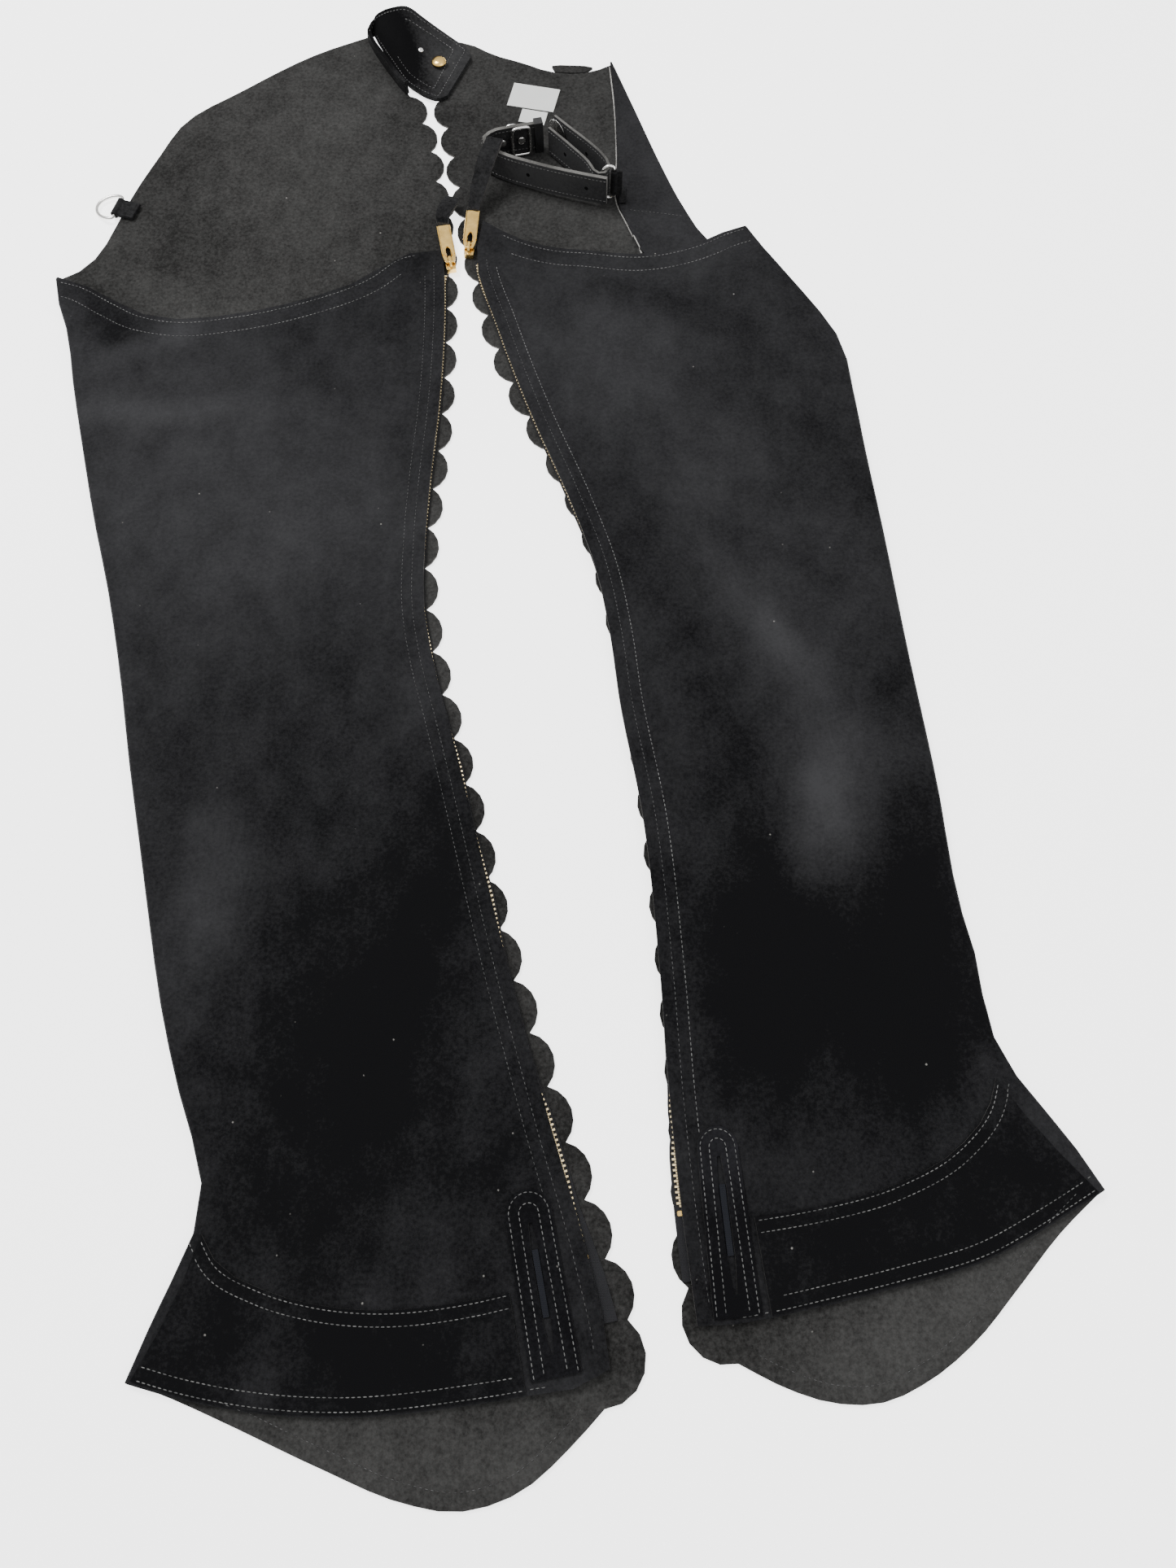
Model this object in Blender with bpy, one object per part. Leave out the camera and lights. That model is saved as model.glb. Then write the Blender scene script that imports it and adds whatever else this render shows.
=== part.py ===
# Pair of black suede western show chaps, laid flat, seen from the feet: +X right, +Y to the waist, +Z up.
# Each leg is one wall: a far panel on the floor, a rounded fold along its outer side, and a near panel
# that lies back over it as far as the zip.  Tables are in millimetres, meshes in metres.
import math

import bmesh
import bpy
import numpy as np
from mathutils import Matrix, Vector
from mathutils.bvhtree import BVHTree

MM = 0.001

# Driving dimensions, in millimetres.
SUEDE = 1.6                # thickness of the leg suede
THIN = 1.2                 # thickness of patches, flare and tabs
GAP = 0.3                  # clearance between pieces that touch
NEAR_REST = 4.3            # top of the near panel where it lies on the far one
NEAR_AT_ZIP = 6.3          # top of the near panel at the zip
LAPEL_FOLD = 4.1           # height of the folded-over crotch edge
SCALLOP_PITCH = 34.0       # one scallop of the decorative edge
SCALLOP_DEPTH = 0.28       # depth of a scallop as a share of its width
SCALLOP_STEPS = 6          # straight pieces in one scallop
FOLD_STATIONS = 30         # rows along a leg
FOLD_STEPS = 5             # facets round the fold
ACROSS = 12                # columns over a near panel
BELT = 3.0                 # thickness of the belt and of the narrow strap
STRAP_HEIGHT = 24.0        # the narrow strap stands on its edge
CHAIN = 4.6                # width of the zip's teeth
CHAIN_LOW = 2.0
CHAIN_TOP = 4.3
SLIDER_LOW = 1.9
SLIDER_TOP = 6.0
PULL_LENGTH = 38.0
PULL_HALF = 5.5
PULL_THICK = 1.6
BRIDGE_CLEAR = 3.2         # height of the opening under the slider's bridge
RING_WIRE = 1.5            # radius of the left ring's wire
STRAP_RING_WIRE = 1.3      # radius of the ring that holds the strap

# One row per station of each outline: x, y.
LEFT_CROTCH = ((-191, 1109), (-230, 1090), (-294, 1043), (-338, 1005), (-354, 967), (-369, 926),
               (-379, 889), (-390, 857), (-403, 842), (-415, 835))
LEFT_SCALLOPS = ((-151, 1037), (-135, 992), (-122, 921), (-112, 850), (-110, 795), (-109, 735),
                 (-110, 680), (-114, 620), (-115, 568), (-107, 510), (-95, 463), (-78, 401),
                 (-61, 333), (-40, 264), (-16, 195), (4, 138), (22, 92))
LEFT_LAST_SCALLOP = (9, 48)
LEFT_LOBE = ((9, 48), (-8, 31), (-38, 8), (-70, 0), (-97, 4), (-142, 20), (-194, 41), (-225, 53), (-249, 61))
LEFT_FOLD = ((-417, 835), (-411, 812), (-398, 779), (-390, 749), (-384, 724), (-367, 664), (-349, 603),
             (-334, 557), (-315, 488), (-299, 422), (-286, 372), (-274, 326), (-257, 263), (-237, 205),
             (-223, 170), (-220, 150), (-223, 136), (-238, 97), (-251, 61))
LEFT_ZIP = ((-114, 862), (-111, 810), (-110, 766), (-111, 704), (-114, 646), (-115, 590), (-113, 540),
            (-106, 503), (-93, 456), (-77, 396), (-52, 300), (-23, 199), (2, 117), (11, 78), (12, 68))
LEFT_TOP = ((-417, 835), (-396, 829), (-367, 812), (-346, 800), (-317, 794), (-278, 798), (-219, 814),
            (-173, 836), (-149, 856), (-114, 862))
LEFT_HEM = ((-251, 61), (-220, 53), (-164, 45), (-133, 44), (-64, 50), (-30, 55), (-2, 60), (12, 68))

RIGHT_WAIST = ((-122, 1105), (-102, 1100), (-81, 1087), (-58, 1078), (-30, 1066), (-2, 1065), (21, 1075))
RIGHT_BACK = ((-122, 1105), (-120, 1068), (-124, 1034))
RIGHT_SCALLOPS = ((-124, 1034), (-116, 1000), (-108, 958), (-98, 900), (-85, 836), (-70, 776), (-45, 710),
                  (-16, 650), (8, 590), (27, 500), (41, 400), (50, 300), (55, 225), (57, 165), (56, 108))
RIGHT_LAST_SCALLOP = (82, 70)
RIGHT_LOBE = ((82, 70), (105, 59), (132, 51), (159, 51), (186, 62), (213, 81), (239, 107), (268, 137), (294, 159))
RIGHT_FOLD = ((127, 888), (136, 871), (148, 851), (171, 813), (188, 782), (194, 764), (198, 728),
              (203, 666), (209, 604), (217, 506), (226, 411), (232, 324), (238, 293), (240, 262), (245, 240),
              (258, 217), (278, 190), (296, 160))
RIGHT_ZIP = ((-84, 893), (-88, 857), (-69, 785), (-41, 701), (-13, 628), (6, 569), (15, 520), (21, 470),
             (35, 388), (44, 283), (48, 209), (53, 150), (60, 89))
RIGHT_TOP = ((127, 888), (107, 880), (93, 872), (69, 863), (43, 858), (-2, 862), (-24, 864), (-46, 870),
             (-69, 882), (-84, 893))
RIGHT_HEM = ((296, 160), (264, 142), (223, 122), (179, 110), (135, 100), (101, 93), (82, 90), (60, 89))
LAPEL_LINE = ((21, 1075), (41, 1014), (62, 950), (78, 908), (93, 879), (108, 862))
LAPEL_EDGE = ((19, 1072), (22, 1035), (24, 964), (24, 914), (31, 895), (43, 863), (70, 838), (104, 858))

# Height of the fold along each leg: place down the leg (0 to 1), height.
LEFT_FOLD_HEIGHT = ((0.0, 4.6), (0.06, 7.0), (0.14, 8.5), (0.17, 6.5), (0.25, 8.5), (0.5, 9.5), (0.75, 9.0),
                    (0.85, 7.0), (0.93, 6.0), (1.0, 4.6))
RIGHT_FOLD_HEIGHT = ((0.0, 6.6), (0.08, 8.0), (0.17, 10.0), (0.24, 8.5), (0.5, 10.0), (0.75, 9.5),
                     (0.82, 7.0), (0.92, 6.0), (1.0, 4.6))

# Soft folds of each near panel: x, y, direction in degrees, half length, half width, height.
LEFT_CREASES = (
    (-385, 790, -60, 40, 12, -2.6),
    (-352, 762, 28, 62, 11, 3.4),
    (-300, 596, 2, 110, 12, 1.3),
    (-240, 420, 70, 120, 34, 2.6),
    (-120, 330, 75, 130, 26, 1.8),
    (-190, 690, 8, 90, 20, 1.2),
    (-236, 170, 5, 26, 9, 2.2),
)
RIGHT_CREASES = (
    (60, 775, 3, 90, 20, 2.4),
    (110, 840, -60, 50, 14, 2.0),
    (95, 520, -50, 110, 20, 2.6),
    (165, 384, 80, 85, 26, 5.0),
    (105, 395, 78, 150, 20, 2.2),
    (130, 250, 70, 80, 20, 2.4),
    (214, 262, -25, 28, 9, 2.4),
)

# Place of the zip beside the near panel's edge: place down the leg, teeth, outer edge of the tape.
LEFT_TAPE = ((0.0, 5.0, 7.8), (0.04, -0.2, 2.8), (0.3, -0.4, 2.6), (0.37, -2.4, 0.6), (0.43, -0.2, 2.8),
             (0.5, -2.6, 0.4), (0.55, -1.0, 2.0), (0.59, -2.6, 0.4), (0.66, -0.6, 2.4), (0.72, -2.6, 0.6),
             (0.81, -2.2, 1.0), (0.83, -0.2, 3.0), (0.87, -0.2, 3.0), (0.9, -2.0, 3.0), (0.94, -2.4, 6.5),
             (1.0, -2.4, 8.5))
RIGHT_TAPE = ((0.0, 5.0, 7.8), (0.06, -0.1, 2.9), (0.34, -0.3, 2.7), (0.42, -3.0, 0.0), (0.77, -3.2, -0.2),
              (0.84, -2.8, 0.4), (0.86, -1.2, 1.8), (0.875, -1.8, 1.4), (0.89, 0.1, 3.4), (0.925, 0.3, 4.2),
              (1.0, 0.3, 5.0))
TAPE_IN = 10.0
ZIP_STEPS = 200             # fine steps along a zip edge
LEFT_SLIDER = (-108.0, 848.0)
RIGHT_SLIDER = (-93.8, 863.0)
LEFT_TURN = 11              # turn of each slider, in degrees
RIGHT_TURN = -3
LEFT_START = 0.028          # shares of the way down the zip: its slider, its last tooth, its tape's end
RIGHT_START = 0.051
LAST_TOOTH = 0.925
TAPE_END = 0.972

# Flare seams, slot patches: x, y.
LEFT_FLARE_SEAM = ((-217, 136), (-207, 121), (-182, 108), (-152, 100), (-124, 97), (-64, 102), (-43.5, 106))
RIGHT_FLARE_SEAM = ((240, 222), (234, 205), (213, 182), (177, 163), (132, 151), (109, 147), (94, 145))
LEFT_PATCH = dict(top=(-33.5, 147), bottom=(-17, 64), half_top=13.2, half_bottom=14.0)
RIGHT_PATCH = dict(top=(74.5, 183), bottom=(82.5, 93.5), half_top=11.8, half_bottom=13.6)
SLIT_HALF = 2.4
SLIT_TOP = 6.0              # from the patch's top centre down to the slit
SLIT_FOOT = 12.0            # from the slit down to the patch's lower end

# The belt's two long edges from the left yoke, up over its loop, to the tab on the right yoke: x, y, z.
BELT_ROWS = (
    (-151.4, 1037.2, 16, -151.5, 1040.7, 2.1), (-157.8, 1047.5, 14, -156.8, 1047.5, 2.1),
    (-164.3, 1059.9, 12, -162.9, 1057.1, 2.2), (-175.4, 1079.9, 11, -174.5, 1076.8, 2.2),
    (-184.2, 1096.6, 10.5, -184.2, 1095.8, 2.2), (-187.1, 1109, 11, -188.4, 1107.4, 2.6),
    (-183.8, 1114.1, 16, -185.7, 1107.1, 3.6), (-175.8, 1113.7, 22, -181.2, 1097.4, 4),
    (-165.1, 1111.2, 27, -174.4, 1084.4, 4), (-155.7, 1109.8, 29, -167.3, 1071.5, 4),
    (-149, 1108.6, 27, -160.2, 1058.7, 4), (-140.8, 1107.1, 21, -153, 1047.7, 4.2),
    (-131.1, 1105.8, 14, -144.9, 1040.1, 4.8), (-119.5, 1100.6, 9, -137.7, 1034.6, 5),
    (-108.3, 1093.4, 6.2, -130.7, 1031.2, 5), (-98.3, 1085.8, 5.2, -120.9, 1028.1, 5.2),
)

# Narrow strap, standing on edge: x, y, z of its lower edge.
LONG_STRAP = ((15, 911, 6.2), (-8, 917.5, 5.6), (-46, 931, 4.2), (-68, 941, 3.4), (-80, 949, 3.4),
              (-84, 957, 3.4), (-78, 965, 3.4), (-64, 970, 3.4), (-48, 973.5, 3.4), (-37, 976, 3.4))
SHORT_STRAP = ((-27, 983, 3.4), (-13, 967, 4.2), (2, 950, 5.2), (12, 936, 6.2), (15.9, 928, 6.3),
               (15.6, 920.3, 6.3), (10.8, 915.9, 6.3), (5.6, 918.8, 6.3), (1, 927.5, 6.3), (-14, 948, 5.0),
               (-31.5, 969.5, 3.4))
STRAP_RING = (17.0, 920.3, 18.3)
KEEPER = (-40.4, 975.2)
SNAP = (-127.0, 1069.0)


def spline(points, count):
    """A smooth curve through the points, as count + 1 places evenly spaced along it."""
    p = np.array(points, dtype=float)
    chord = np.linalg.norm(np.diff(p, axis=0), axis=1)
    t = np.concatenate([[0.0], np.cumsum(chord)])
    slope = np.gradient(p, t, axis=0)
    fine = []
    for i in range(len(p) - 1):
        step = t[i + 1] - t[i]
        for s in np.linspace(0.0, 1.0, 24, endpoint=False):
            a = 2 * s ** 3 - 3 * s ** 2 + 1
            b = s ** 3 - 2 * s ** 2 + s
            c = -2 * s ** 3 + 3 * s ** 2
            d = s ** 3 - s ** 2
            fine.append(a * p[i] + b * step * slope[i] + c * p[i + 1] + d * step * slope[i + 1])
    fine.append(p[-1])
    fine = np.array(fine)
    run = np.concatenate([[0.0], np.cumsum(np.linalg.norm(np.diff(fine, axis=0), axis=1))])
    want = np.linspace(0.0, run[-1], count + 1)
    return np.stack([np.interp(want, run, fine[:, k]) for k in range(p.shape[1])], axis=1)


def table(rows, at, column=1):
    """Value of a table's column at a place between its rows."""
    rows = np.array(rows, dtype=float)
    return float(np.interp(at, rows[:, 0], rows[:, column]))


def smooth(x):
    x = min(max(x, 0.0), 1.0)
    return x * x * (3 - 2 * x)


def sideways(path):
    """Unit vectors to the left of a path in the plane."""
    along = np.gradient(path[:, :2], axis=0)
    along /= np.linalg.norm(along, axis=1)[:, None]
    return np.stack([-along[:, 1], along[:, 0]], axis=1)


def material(name, colour, roughness, metallic=0.0):
    found = bpy.data.materials.get(name)
    if found:
        return found
    made = bpy.data.materials.new(name)
    made.use_nodes = True
    shader = made.node_tree.nodes["Principled BSDF"]
    shader.inputs["Base Color"].default_value = (*colour, 1.0)
    shader.inputs["Roughness"].default_value = roughness
    shader.inputs["Metallic"].default_value = metallic
    return made


def suede():
    return material("black_suede", (0.022, 0.022, 0.024), 0.95)


def suede_trim():
    return material("black_suede_trim", (0.016, 0.016, 0.018), 0.93)


def leather():
    return material("black_leather", (0.010, 0.010, 0.011), 0.55)


def brass():
    return material("brass", (0.78, 0.58, 0.24), 0.28, 1.0)


def nickel():
    return material("nickel", (0.70, 0.70, 0.68), 0.25, 1.0)


def tape():
    return material("zip_tape", (0.012, 0.012, 0.014), 0.85)


def satin():
    return material("label_satin", (0.82, 0.83, 0.80), 0.6)


def make(name, points, faces, finish, parent, round_edges=False):
    """One object from points in millimetres."""
    mesh = bpy.data.meshes.new(name)
    mesh.from_pydata([Vector(p) * MM for p in points], [], faces)
    mesh.update()
    mesh.materials.append(finish)
    thing = bpy.data.objects.new(name, mesh)
    bpy.context.collection.objects.link(thing)
    thing.parent = parent
    build = bmesh.new()
    build.from_mesh(mesh)
    bmesh.ops.recalc_face_normals(build, faces=build.faces)
    build.to_mesh(mesh)
    build.free()
    if round_edges:
        mesh.shade_smooth()
        mesh.set_sharp_from_angle(angle=math.radians(40))
    return thing


def wall(thing, thickness, grow_up, look_down=False):
    """Gives an open sheet its thickness: grown from its underside, or inwards from its outer face."""
    mesh = thing.data
    lowest = min(mesh.polygons, key=lambda face: face.center.z)
    wanted = -1.0 if look_down else 1.0
    if lowest.normal.z * wanted < 0:
        mesh.flip_normals()
    solid = thing.modifiers.new("thickness", 'SOLIDIFY')
    solid.thickness = thickness * MM
    solid.offset = 1.0 if grow_up else -1.0
    solid.use_even_offset = True
    solid.use_quality_normals = True
    return thing


def grid_faces(rows, columns, first=0):
    faces = []
    for j in range(rows):
        for i in range(columns):
            a = first + j * (columns + 1) + i
            faces.append((a, a + 1, a + columns + 2, a + columns + 1))
    return faces


def tube_faces(rings, sides, closed_path=False):
    faces = []
    last = rings if closed_path else rings - 1
    for r in range(last):
        s = (r + 1) % rings
        for i in range(sides):
            j = (i + 1) % sides
            faces.append((r * sides + i, r * sides + j, s * sides + j, s * sides + i))
    if not closed_path:
        faces.append(tuple(range(sides)))
        faces.append(tuple((rings - 1) * sides + i for i in range(sides)))
    return faces


def turned(name, profile, centre, finish, parent, sides=20, tilt=None):
    """A lathe-turned piece from rows of radius, height; the first and last rows are on its axis."""
    points = [(0.0, 0.0, profile[0][1])]
    for radius, height in profile[1:-1]:
        for k in range(sides):
            a = 2 * math.pi * k / sides
            points.append((radius * math.cos(a), radius * math.sin(a), height))
    points.append((0.0, 0.0, profile[-1][1]))
    rings = len(profile) - 2
    faces = [(0, 1 + (k + 1) % sides, 1 + k) for k in range(sides)]
    for r in range(rings - 1):
        for k in range(sides):
            a = 1 + r * sides + k
            b = 1 + r * sides + (k + 1) % sides
            faces.append((a, b, b + sides, a + sides))
    base = 1 + (rings - 1) * sides
    top = len(points) - 1
    faces += [(base + k, base + (k + 1) % sides, top) for k in range(sides)]
    turn = tilt if tilt is not None else Matrix.Identity(3)
    placed = [turn @ Vector(p) + Vector(centre) for p in points]
    return make(name, placed, faces, finish, parent, round_edges=True)


def swept(name, path, wire, finish, parent, sides=8, closed=True):
    """A round wire along a path that lies in one plane."""
    path = [Vector(p) for p in path]
    count = len(path)
    flat = (path[count // 3] - path[0]).cross(path[2 * count // 3] - path[0]).normalized()
    points = []
    for k, here in enumerate(path):
        before = path[k - 1] if closed or k else here
        after = path[(k + 1) % count] if closed or k < count - 1 else here
        along = (after - before).normalized()
        out = along.cross(flat).normalized()
        for s in range(sides):
            a = 2 * math.pi * (s + 0.5) / sides
            points.append(here + out * (wire * math.cos(a)) + flat * (wire * math.sin(a)))
    return make(name, points, tube_faces(count, sides, closed), finish, parent, round_edges=True)


def slab(name, outline, bottom, thickness, finish, parent):
    """A flat plate from an outline of x, y."""
    count = len(outline)
    points = [(x, y, bottom) for x, y in outline] + [(x, y, bottom + thickness) for x, y in outline]
    faces = [tuple(range(count)), tuple(range(count, 2 * count))]
    faces += [(k, (k + 1) % count, count + (k + 1) % count, count + k) for k in range(count)]
    return make(name, points, faces, finish, parent)


def plate_with_slots(rings, low, high):
    """Points and faces of a plate made of concentric loops with one slot, all with equal counts."""
    outer, inner = rings
    count = len(outer)
    points = []
    for loop, z in ((outer, low), (inner, low), (outer, high), (inner, high)):
        points += [(x, y, z) for x, y in loop]
    faces = []
    for k in range(count):
        n = (k + 1) % count
        faces.append((k, n, count + n, count + k))
        faces.append((2 * count + k, 2 * count + n, 3 * count + n, 3 * count + k))
        faces.append((k, n, 2 * count + n, 2 * count + k))
        faces.append((count + k, count + n, 3 * count + n, 3 * count + k))
    return points, faces


def scallops(base, last_point, out_side):
    """A row of even scallops along a base curve, then one larger scallop down to the last point."""
    fine = spline(base, 400)
    length = np.linalg.norm(np.diff(fine, axis=0), axis=1).sum()
    count = round(length / SCALLOP_PITCH)
    cusps = spline(base, count)
    cusps = list(cusps) + [np.array(last_point, dtype=float)]
    outline = []
    for k in range(len(cusps) - 1):
        a, b = cusps[k], cusps[k + 1]
        chord = b - a
        out = np.array([chord[1], -chord[0]]) * out_side
        out /= np.linalg.norm(out)
        width = np.linalg.norm(chord)
        depth = SCALLOP_DEPTH * width * (1.25 if k == len(cusps) - 2 else 1.0)
        radius = (width ** 2 / 4 + depth ** 2) / (2 * depth)
        swing = math.asin(width / 2 / radius)
        for s in range(SCALLOP_STEPS):
            angle = swing * (2 * s / SCALLOP_STEPS - 1)
            along = 0.5 + radius * math.sin(angle) / width
            outline.append(a + chord * along + out * (radius * math.cos(angle) - radius + depth))
    outline.append(cusps[-1])
    return np.array(outline)


def crease_height(creases, x, y):
    total = 0.0
    for cx, cy, turn, half_length, half_width, height in creases:
        c, s = math.cos(math.radians(turn)), math.sin(math.radians(turn))
        along = ((x - cx) * c + (y - cy) * s) / half_length
        side = (-(x - cx) * s + (y - cy) * c) / half_width
        total += height * math.exp(-along ** 2 - side ** 2)
    return total


def coons(top, hem, fold, edge):
    """Points of the near panel between its four edges, row by row from the fold to the zip."""
    rows = []
    n, m = len(fold) - 1, len(top) - 1
    for j in range(n + 1):
        v = j / n
        row = []
        for i in range(m + 1):
            u = i / m
            ruled = (1 - u) * fold[j] + u * edge[j] + (1 - v) * top[i] + v * hem[i]
            corner = (1 - u) * (1 - v) * fold[0] + u * (1 - v) * edge[0]
            corner = corner + (1 - u) * v * fold[n] + u * v * edge[n]
            row.append(ruled - corner)
        rows.append(row)
    return rows


def folded_edge(silhouette, heights, inward, steps):
    """Outer points of a rounded fold, from the floor round to its top; rows along the fold."""
    rows = []
    for place, height, side in zip(silhouette, heights, inward):
        radius = height / 2
        foot = place + side * radius
        row = []
        for k in range(steps + 1):
            a = -math.pi / 2 + math.pi * k / steps
            flat = foot - side * radius * math.cos(a)
            row.append((flat[0], flat[1], radius + radius * math.sin(a)))
        rows.append(row)
    return rows


def near_top(u, v, x, y, fold_height, width, creases, lift_top):
    """Height of the near panel's upper face."""
    rest = NEAR_REST + lift_top * (1 - smooth((v - 0.03) / 0.12))
    from_fold = u * width
    height = rest + (fold_height - rest) * math.exp(-(from_fold / 34.0) ** 1.4)
    zip_rise = smooth(1 - (1 - u) * width / 70.0)
    height = height + (NEAR_AT_ZIP - height) * zip_rise
    calm = smooth(u * width / 14.0) * smooth((1 - u) * width / 40.0) * smooth(v / 0.05) * smooth((1 - v) / 0.12)
    return max(height + calm * crease_height(creases, x, y), rest if v < 0.12 else NEAR_REST)


def leg(name, side, far_rest, fold, fold_table, zip_edge, top, hem, creases, lift_top, parent, lapel=None):
    """One leg as one folded wall.  side is 1 for the left leg, whose fold is at -X, and -1 for the right."""
    silhouette = spline(fold, FOLD_STATIONS)
    inward = sideways(silhouette) * side
    heights = [table(fold_table, j / FOLD_STATIONS) for j in range(FOLD_STATIONS + 1)]
    strip = folded_edge(silhouette, heights, inward, FOLD_STEPS)
    feet = [row[0] for row in strip]
    crest = np.array([row[-1][:2] for row in strip])
    edge = spline(zip_edge, FOLD_STATIONS)
    top_curve = spline([tuple(crest[0])] + list(top[1:]), ACROSS)
    hem_curve = spline([tuple(crest[-1])] + list(hem[1:]), ACROSS)
    rows = coons(top_curve, hem_curve, crest, edge)
    points, faces = [], []
    for row in strip:
        points += row
    faces += grid_faces(FOLD_STATIONS, FOLD_STEPS)
    across_ids = []
    near_points = []
    for j, row in enumerate(rows):
        ids = [j * (FOLD_STEPS + 1) + FOLD_STEPS]
        width = float(np.linalg.norm(row[-1] - row[0]))
        line = [points[ids[0]]]
        for i in range(1, ACROSS + 1):
            x, y = row[i]
            z = near_top(i / ACROSS, j / FOLD_STATIONS, x, y, heights[j], width, creases, lift_top)
            ids.append(len(points))
            points.append((x, y, z))
            line.append((x, y, z))
        across_ids.append(ids)
        near_points.append(line)
    for j in range(FOLD_STATIONS):
        for i in range(ACROSS):
            faces.append((across_ids[j][i], across_ids[j][i + 1], across_ids[j + 1][i + 1], across_ids[j + 1][i]))
    # The far panel: its own edge, then back up along the foot of the fold.
    far_ids = []
    for x, y in far_rest:
        far_ids.append(len(points))
        points.append((x, y, 0.0))
    foot_ids = [j * (FOLD_STEPS + 1) for j in range(len(feet))][::-1]
    outline = far_ids + foot_ids
    if lapel:
        line, free_edge, count, across = lapel
        path = spline(line, count)
        turn_in = sideways(path) * side
        lapel_strip = folded_edge(path, [LAPEL_FOLD] * (count + 1), turn_in, FOLD_STEPS - 1)
        start = len(points)
        for row in lapel_strip:
            points += row
        faces += grid_faces(count, FOLD_STEPS - 1, start)
        free = spline(free_edge, count)
        lapel_ids = []
        for j in range(count + 1):
            ids = [start + j * FOLD_STEPS + FOLD_STEPS - 1]
            crest_x, crest_y, _ = lapel_strip[j][-1]
            for i in range(1, across + 1):
                f = i / across
                x = crest_x + (free[j][0] - crest_x) * f
                y = crest_y + (free[j][1] - crest_y) * f
                z = LAPEL_FOLD - (LAPEL_FOLD - 2 * SUEDE - 0.5) * smooth(f * 2)
                ids.append(len(points))
                points.append((x, y, z))
            lapel_ids.append(ids)
        for j in range(count):
            for i in range(across):
                faces.append((lapel_ids[j][i], lapel_ids[j][i + 1], lapel_ids[j + 1][i + 1], lapel_ids[j + 1][i]))
        outline += [start + j * FOLD_STEPS for j in range(count + 1)][::-1]
    faces.append(tuple(outline))
    thing = make(name, points, faces, suede(), parent)
    wall(thing, SUEDE, grow_up=False, look_down=True)
    flat = [p for line in near_points for p in line]
    tree = BVHTree.FromPolygons([Vector(p) for p in flat], grid_faces(FOLD_STATIONS, ACROSS))
    return thing, tree, edge


def on_panel(tree, x, y, lift=GAP):
    hit = tree.ray_cast(Vector((x, y, 100.0)), Vector((0, 0, -1)))
    if hit[0] is None:
        near = tree.find_nearest(Vector((x, y, NEAR_REST)))
        return near[0].z + lift
    return hit[0].z + lift


def flare(name, tree, seam, hem, side_edge, parent):
    """The shaped piece sewn across the bottom of a near panel."""
    across, down = 12, 3
    upper = spline(seam, across)
    lower = spline(hem, across)
    points = []
    for j in range(down + 1):
        f = j / down
        for i in range(across + 1):
            x, y = upper[i] * (1 - f) + lower[i] * f
            if i == 0:
                x += side_edge * math.sin(math.pi * f)
            points.append((x, y, on_panel(tree, x, y, GAP + 0.1)))
    thing = make(name, points, grid_faces(down, across), suede_trim(), parent)
    return wall(thing, THIN, grow_up=True)


def patch_frame(spec):
    """Top centre of a slot patch, the ways down it and to its right, and its length."""
    top = np.array(spec["top"], dtype=float)
    down = np.array(spec["bottom"], dtype=float) - top
    length = np.linalg.norm(down)
    down /= length
    return top, down, np.array([-down[1], down[0]]), length


def patch_loops(spec, parts=7):
    """The outer outline of a slot patch and the outline of its slit, point for point."""
    top, down, right, length = patch_frame(spec)
    bottom = top + down * length
    run = length - SLIT_TOP - SLIT_FOOT
    outer, slit = [], []
    for k in range(parts + 1):
        a = math.pi * k / parts
        swing = right * -math.cos(a) - down * math.sin(a)
        outer.append(top + swing * spec["half_top"])
        slit.append(top + down * SLIT_TOP + swing * SLIT_HALF * 0.5)
    for f in (0.25, 0.5, 0.75, 1.0):
        half = spec["half_top"] + (spec["half_bottom"] - spec["half_top"]) * f
        outer.append(top + down * length * f + right * half)
        slit.append(top + down * (SLIT_TOP + run * f) + right * SLIT_HALF * (1.0 if f < 1 else 0.4))
    for f in (0.5, 0.0, -0.5):
        outer.append(bottom + right * spec["half_bottom"] * f)
        slit.append(top + down * (length - SLIT_FOOT + 0.6) + right * SLIT_HALF * 0.4 * f)
    for f in (1.0, 0.75, 0.5, 0.25):
        half = spec["half_top"] + (spec["half_bottom"] - spec["half_top"]) * f
        outer.append(top + down * length * f - right * half)
        slit.append(top + down * (SLIT_TOP + run * f) - right * SLIT_HALF * (1.0 if f < 1 else 0.4))
    return outer, slit


def slot_patch(name, tree, spec, parent):
    outer, slit = patch_loops(spec)
    count = len(outer)
    points = [(x, y, on_panel(tree, x, y, GAP + 0.1)) for x, y in outer]
    middle = [(np.array(o) + np.array(s)) / 2 for o, s in zip(outer, slit)]
    points += [(x, y, on_panel(tree, x, y, GAP + 0.1)) for x, y in middle]
    points += [(x, y, on_panel(tree, x, y, GAP + 0.1)) for x, y in slit]
    faces = []
    for ring in range(2):
        for k in range(count):
            n = (k + 1) % count
            a = ring * count
            faces.append((a + k, a + n, a + count + n, a + count + k))
    thing = make(name, points, faces, suede_trim(), parent)
    return wall(thing, THIN, grow_up=True)


def slot_tape(name, tree, spec, parent):
    """The strip of hook tape that shows in the slit."""
    top, down, right, length = patch_frame(spec)
    run = length - SLIT_TOP - SLIT_FOOT
    points = []
    steps = 6
    for k in range(steps + 1):
        centre = top + down * (SLIT_TOP + run * (0.2 + 0.53 * k / steps))
        for f in (-1, 1):
            x, y = centre + right * SLIT_HALF * 0.72 * f
            points.append((x, y, on_panel(tree, x, y, GAP)))
    faces = [(2 * k, 2 * k + 1, 2 * k + 3, 2 * k + 2) for k in range(steps)]
    thing = make(name, points, faces, tape(), parent)
    return wall(thing, 0.8, grow_up=True)


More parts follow.
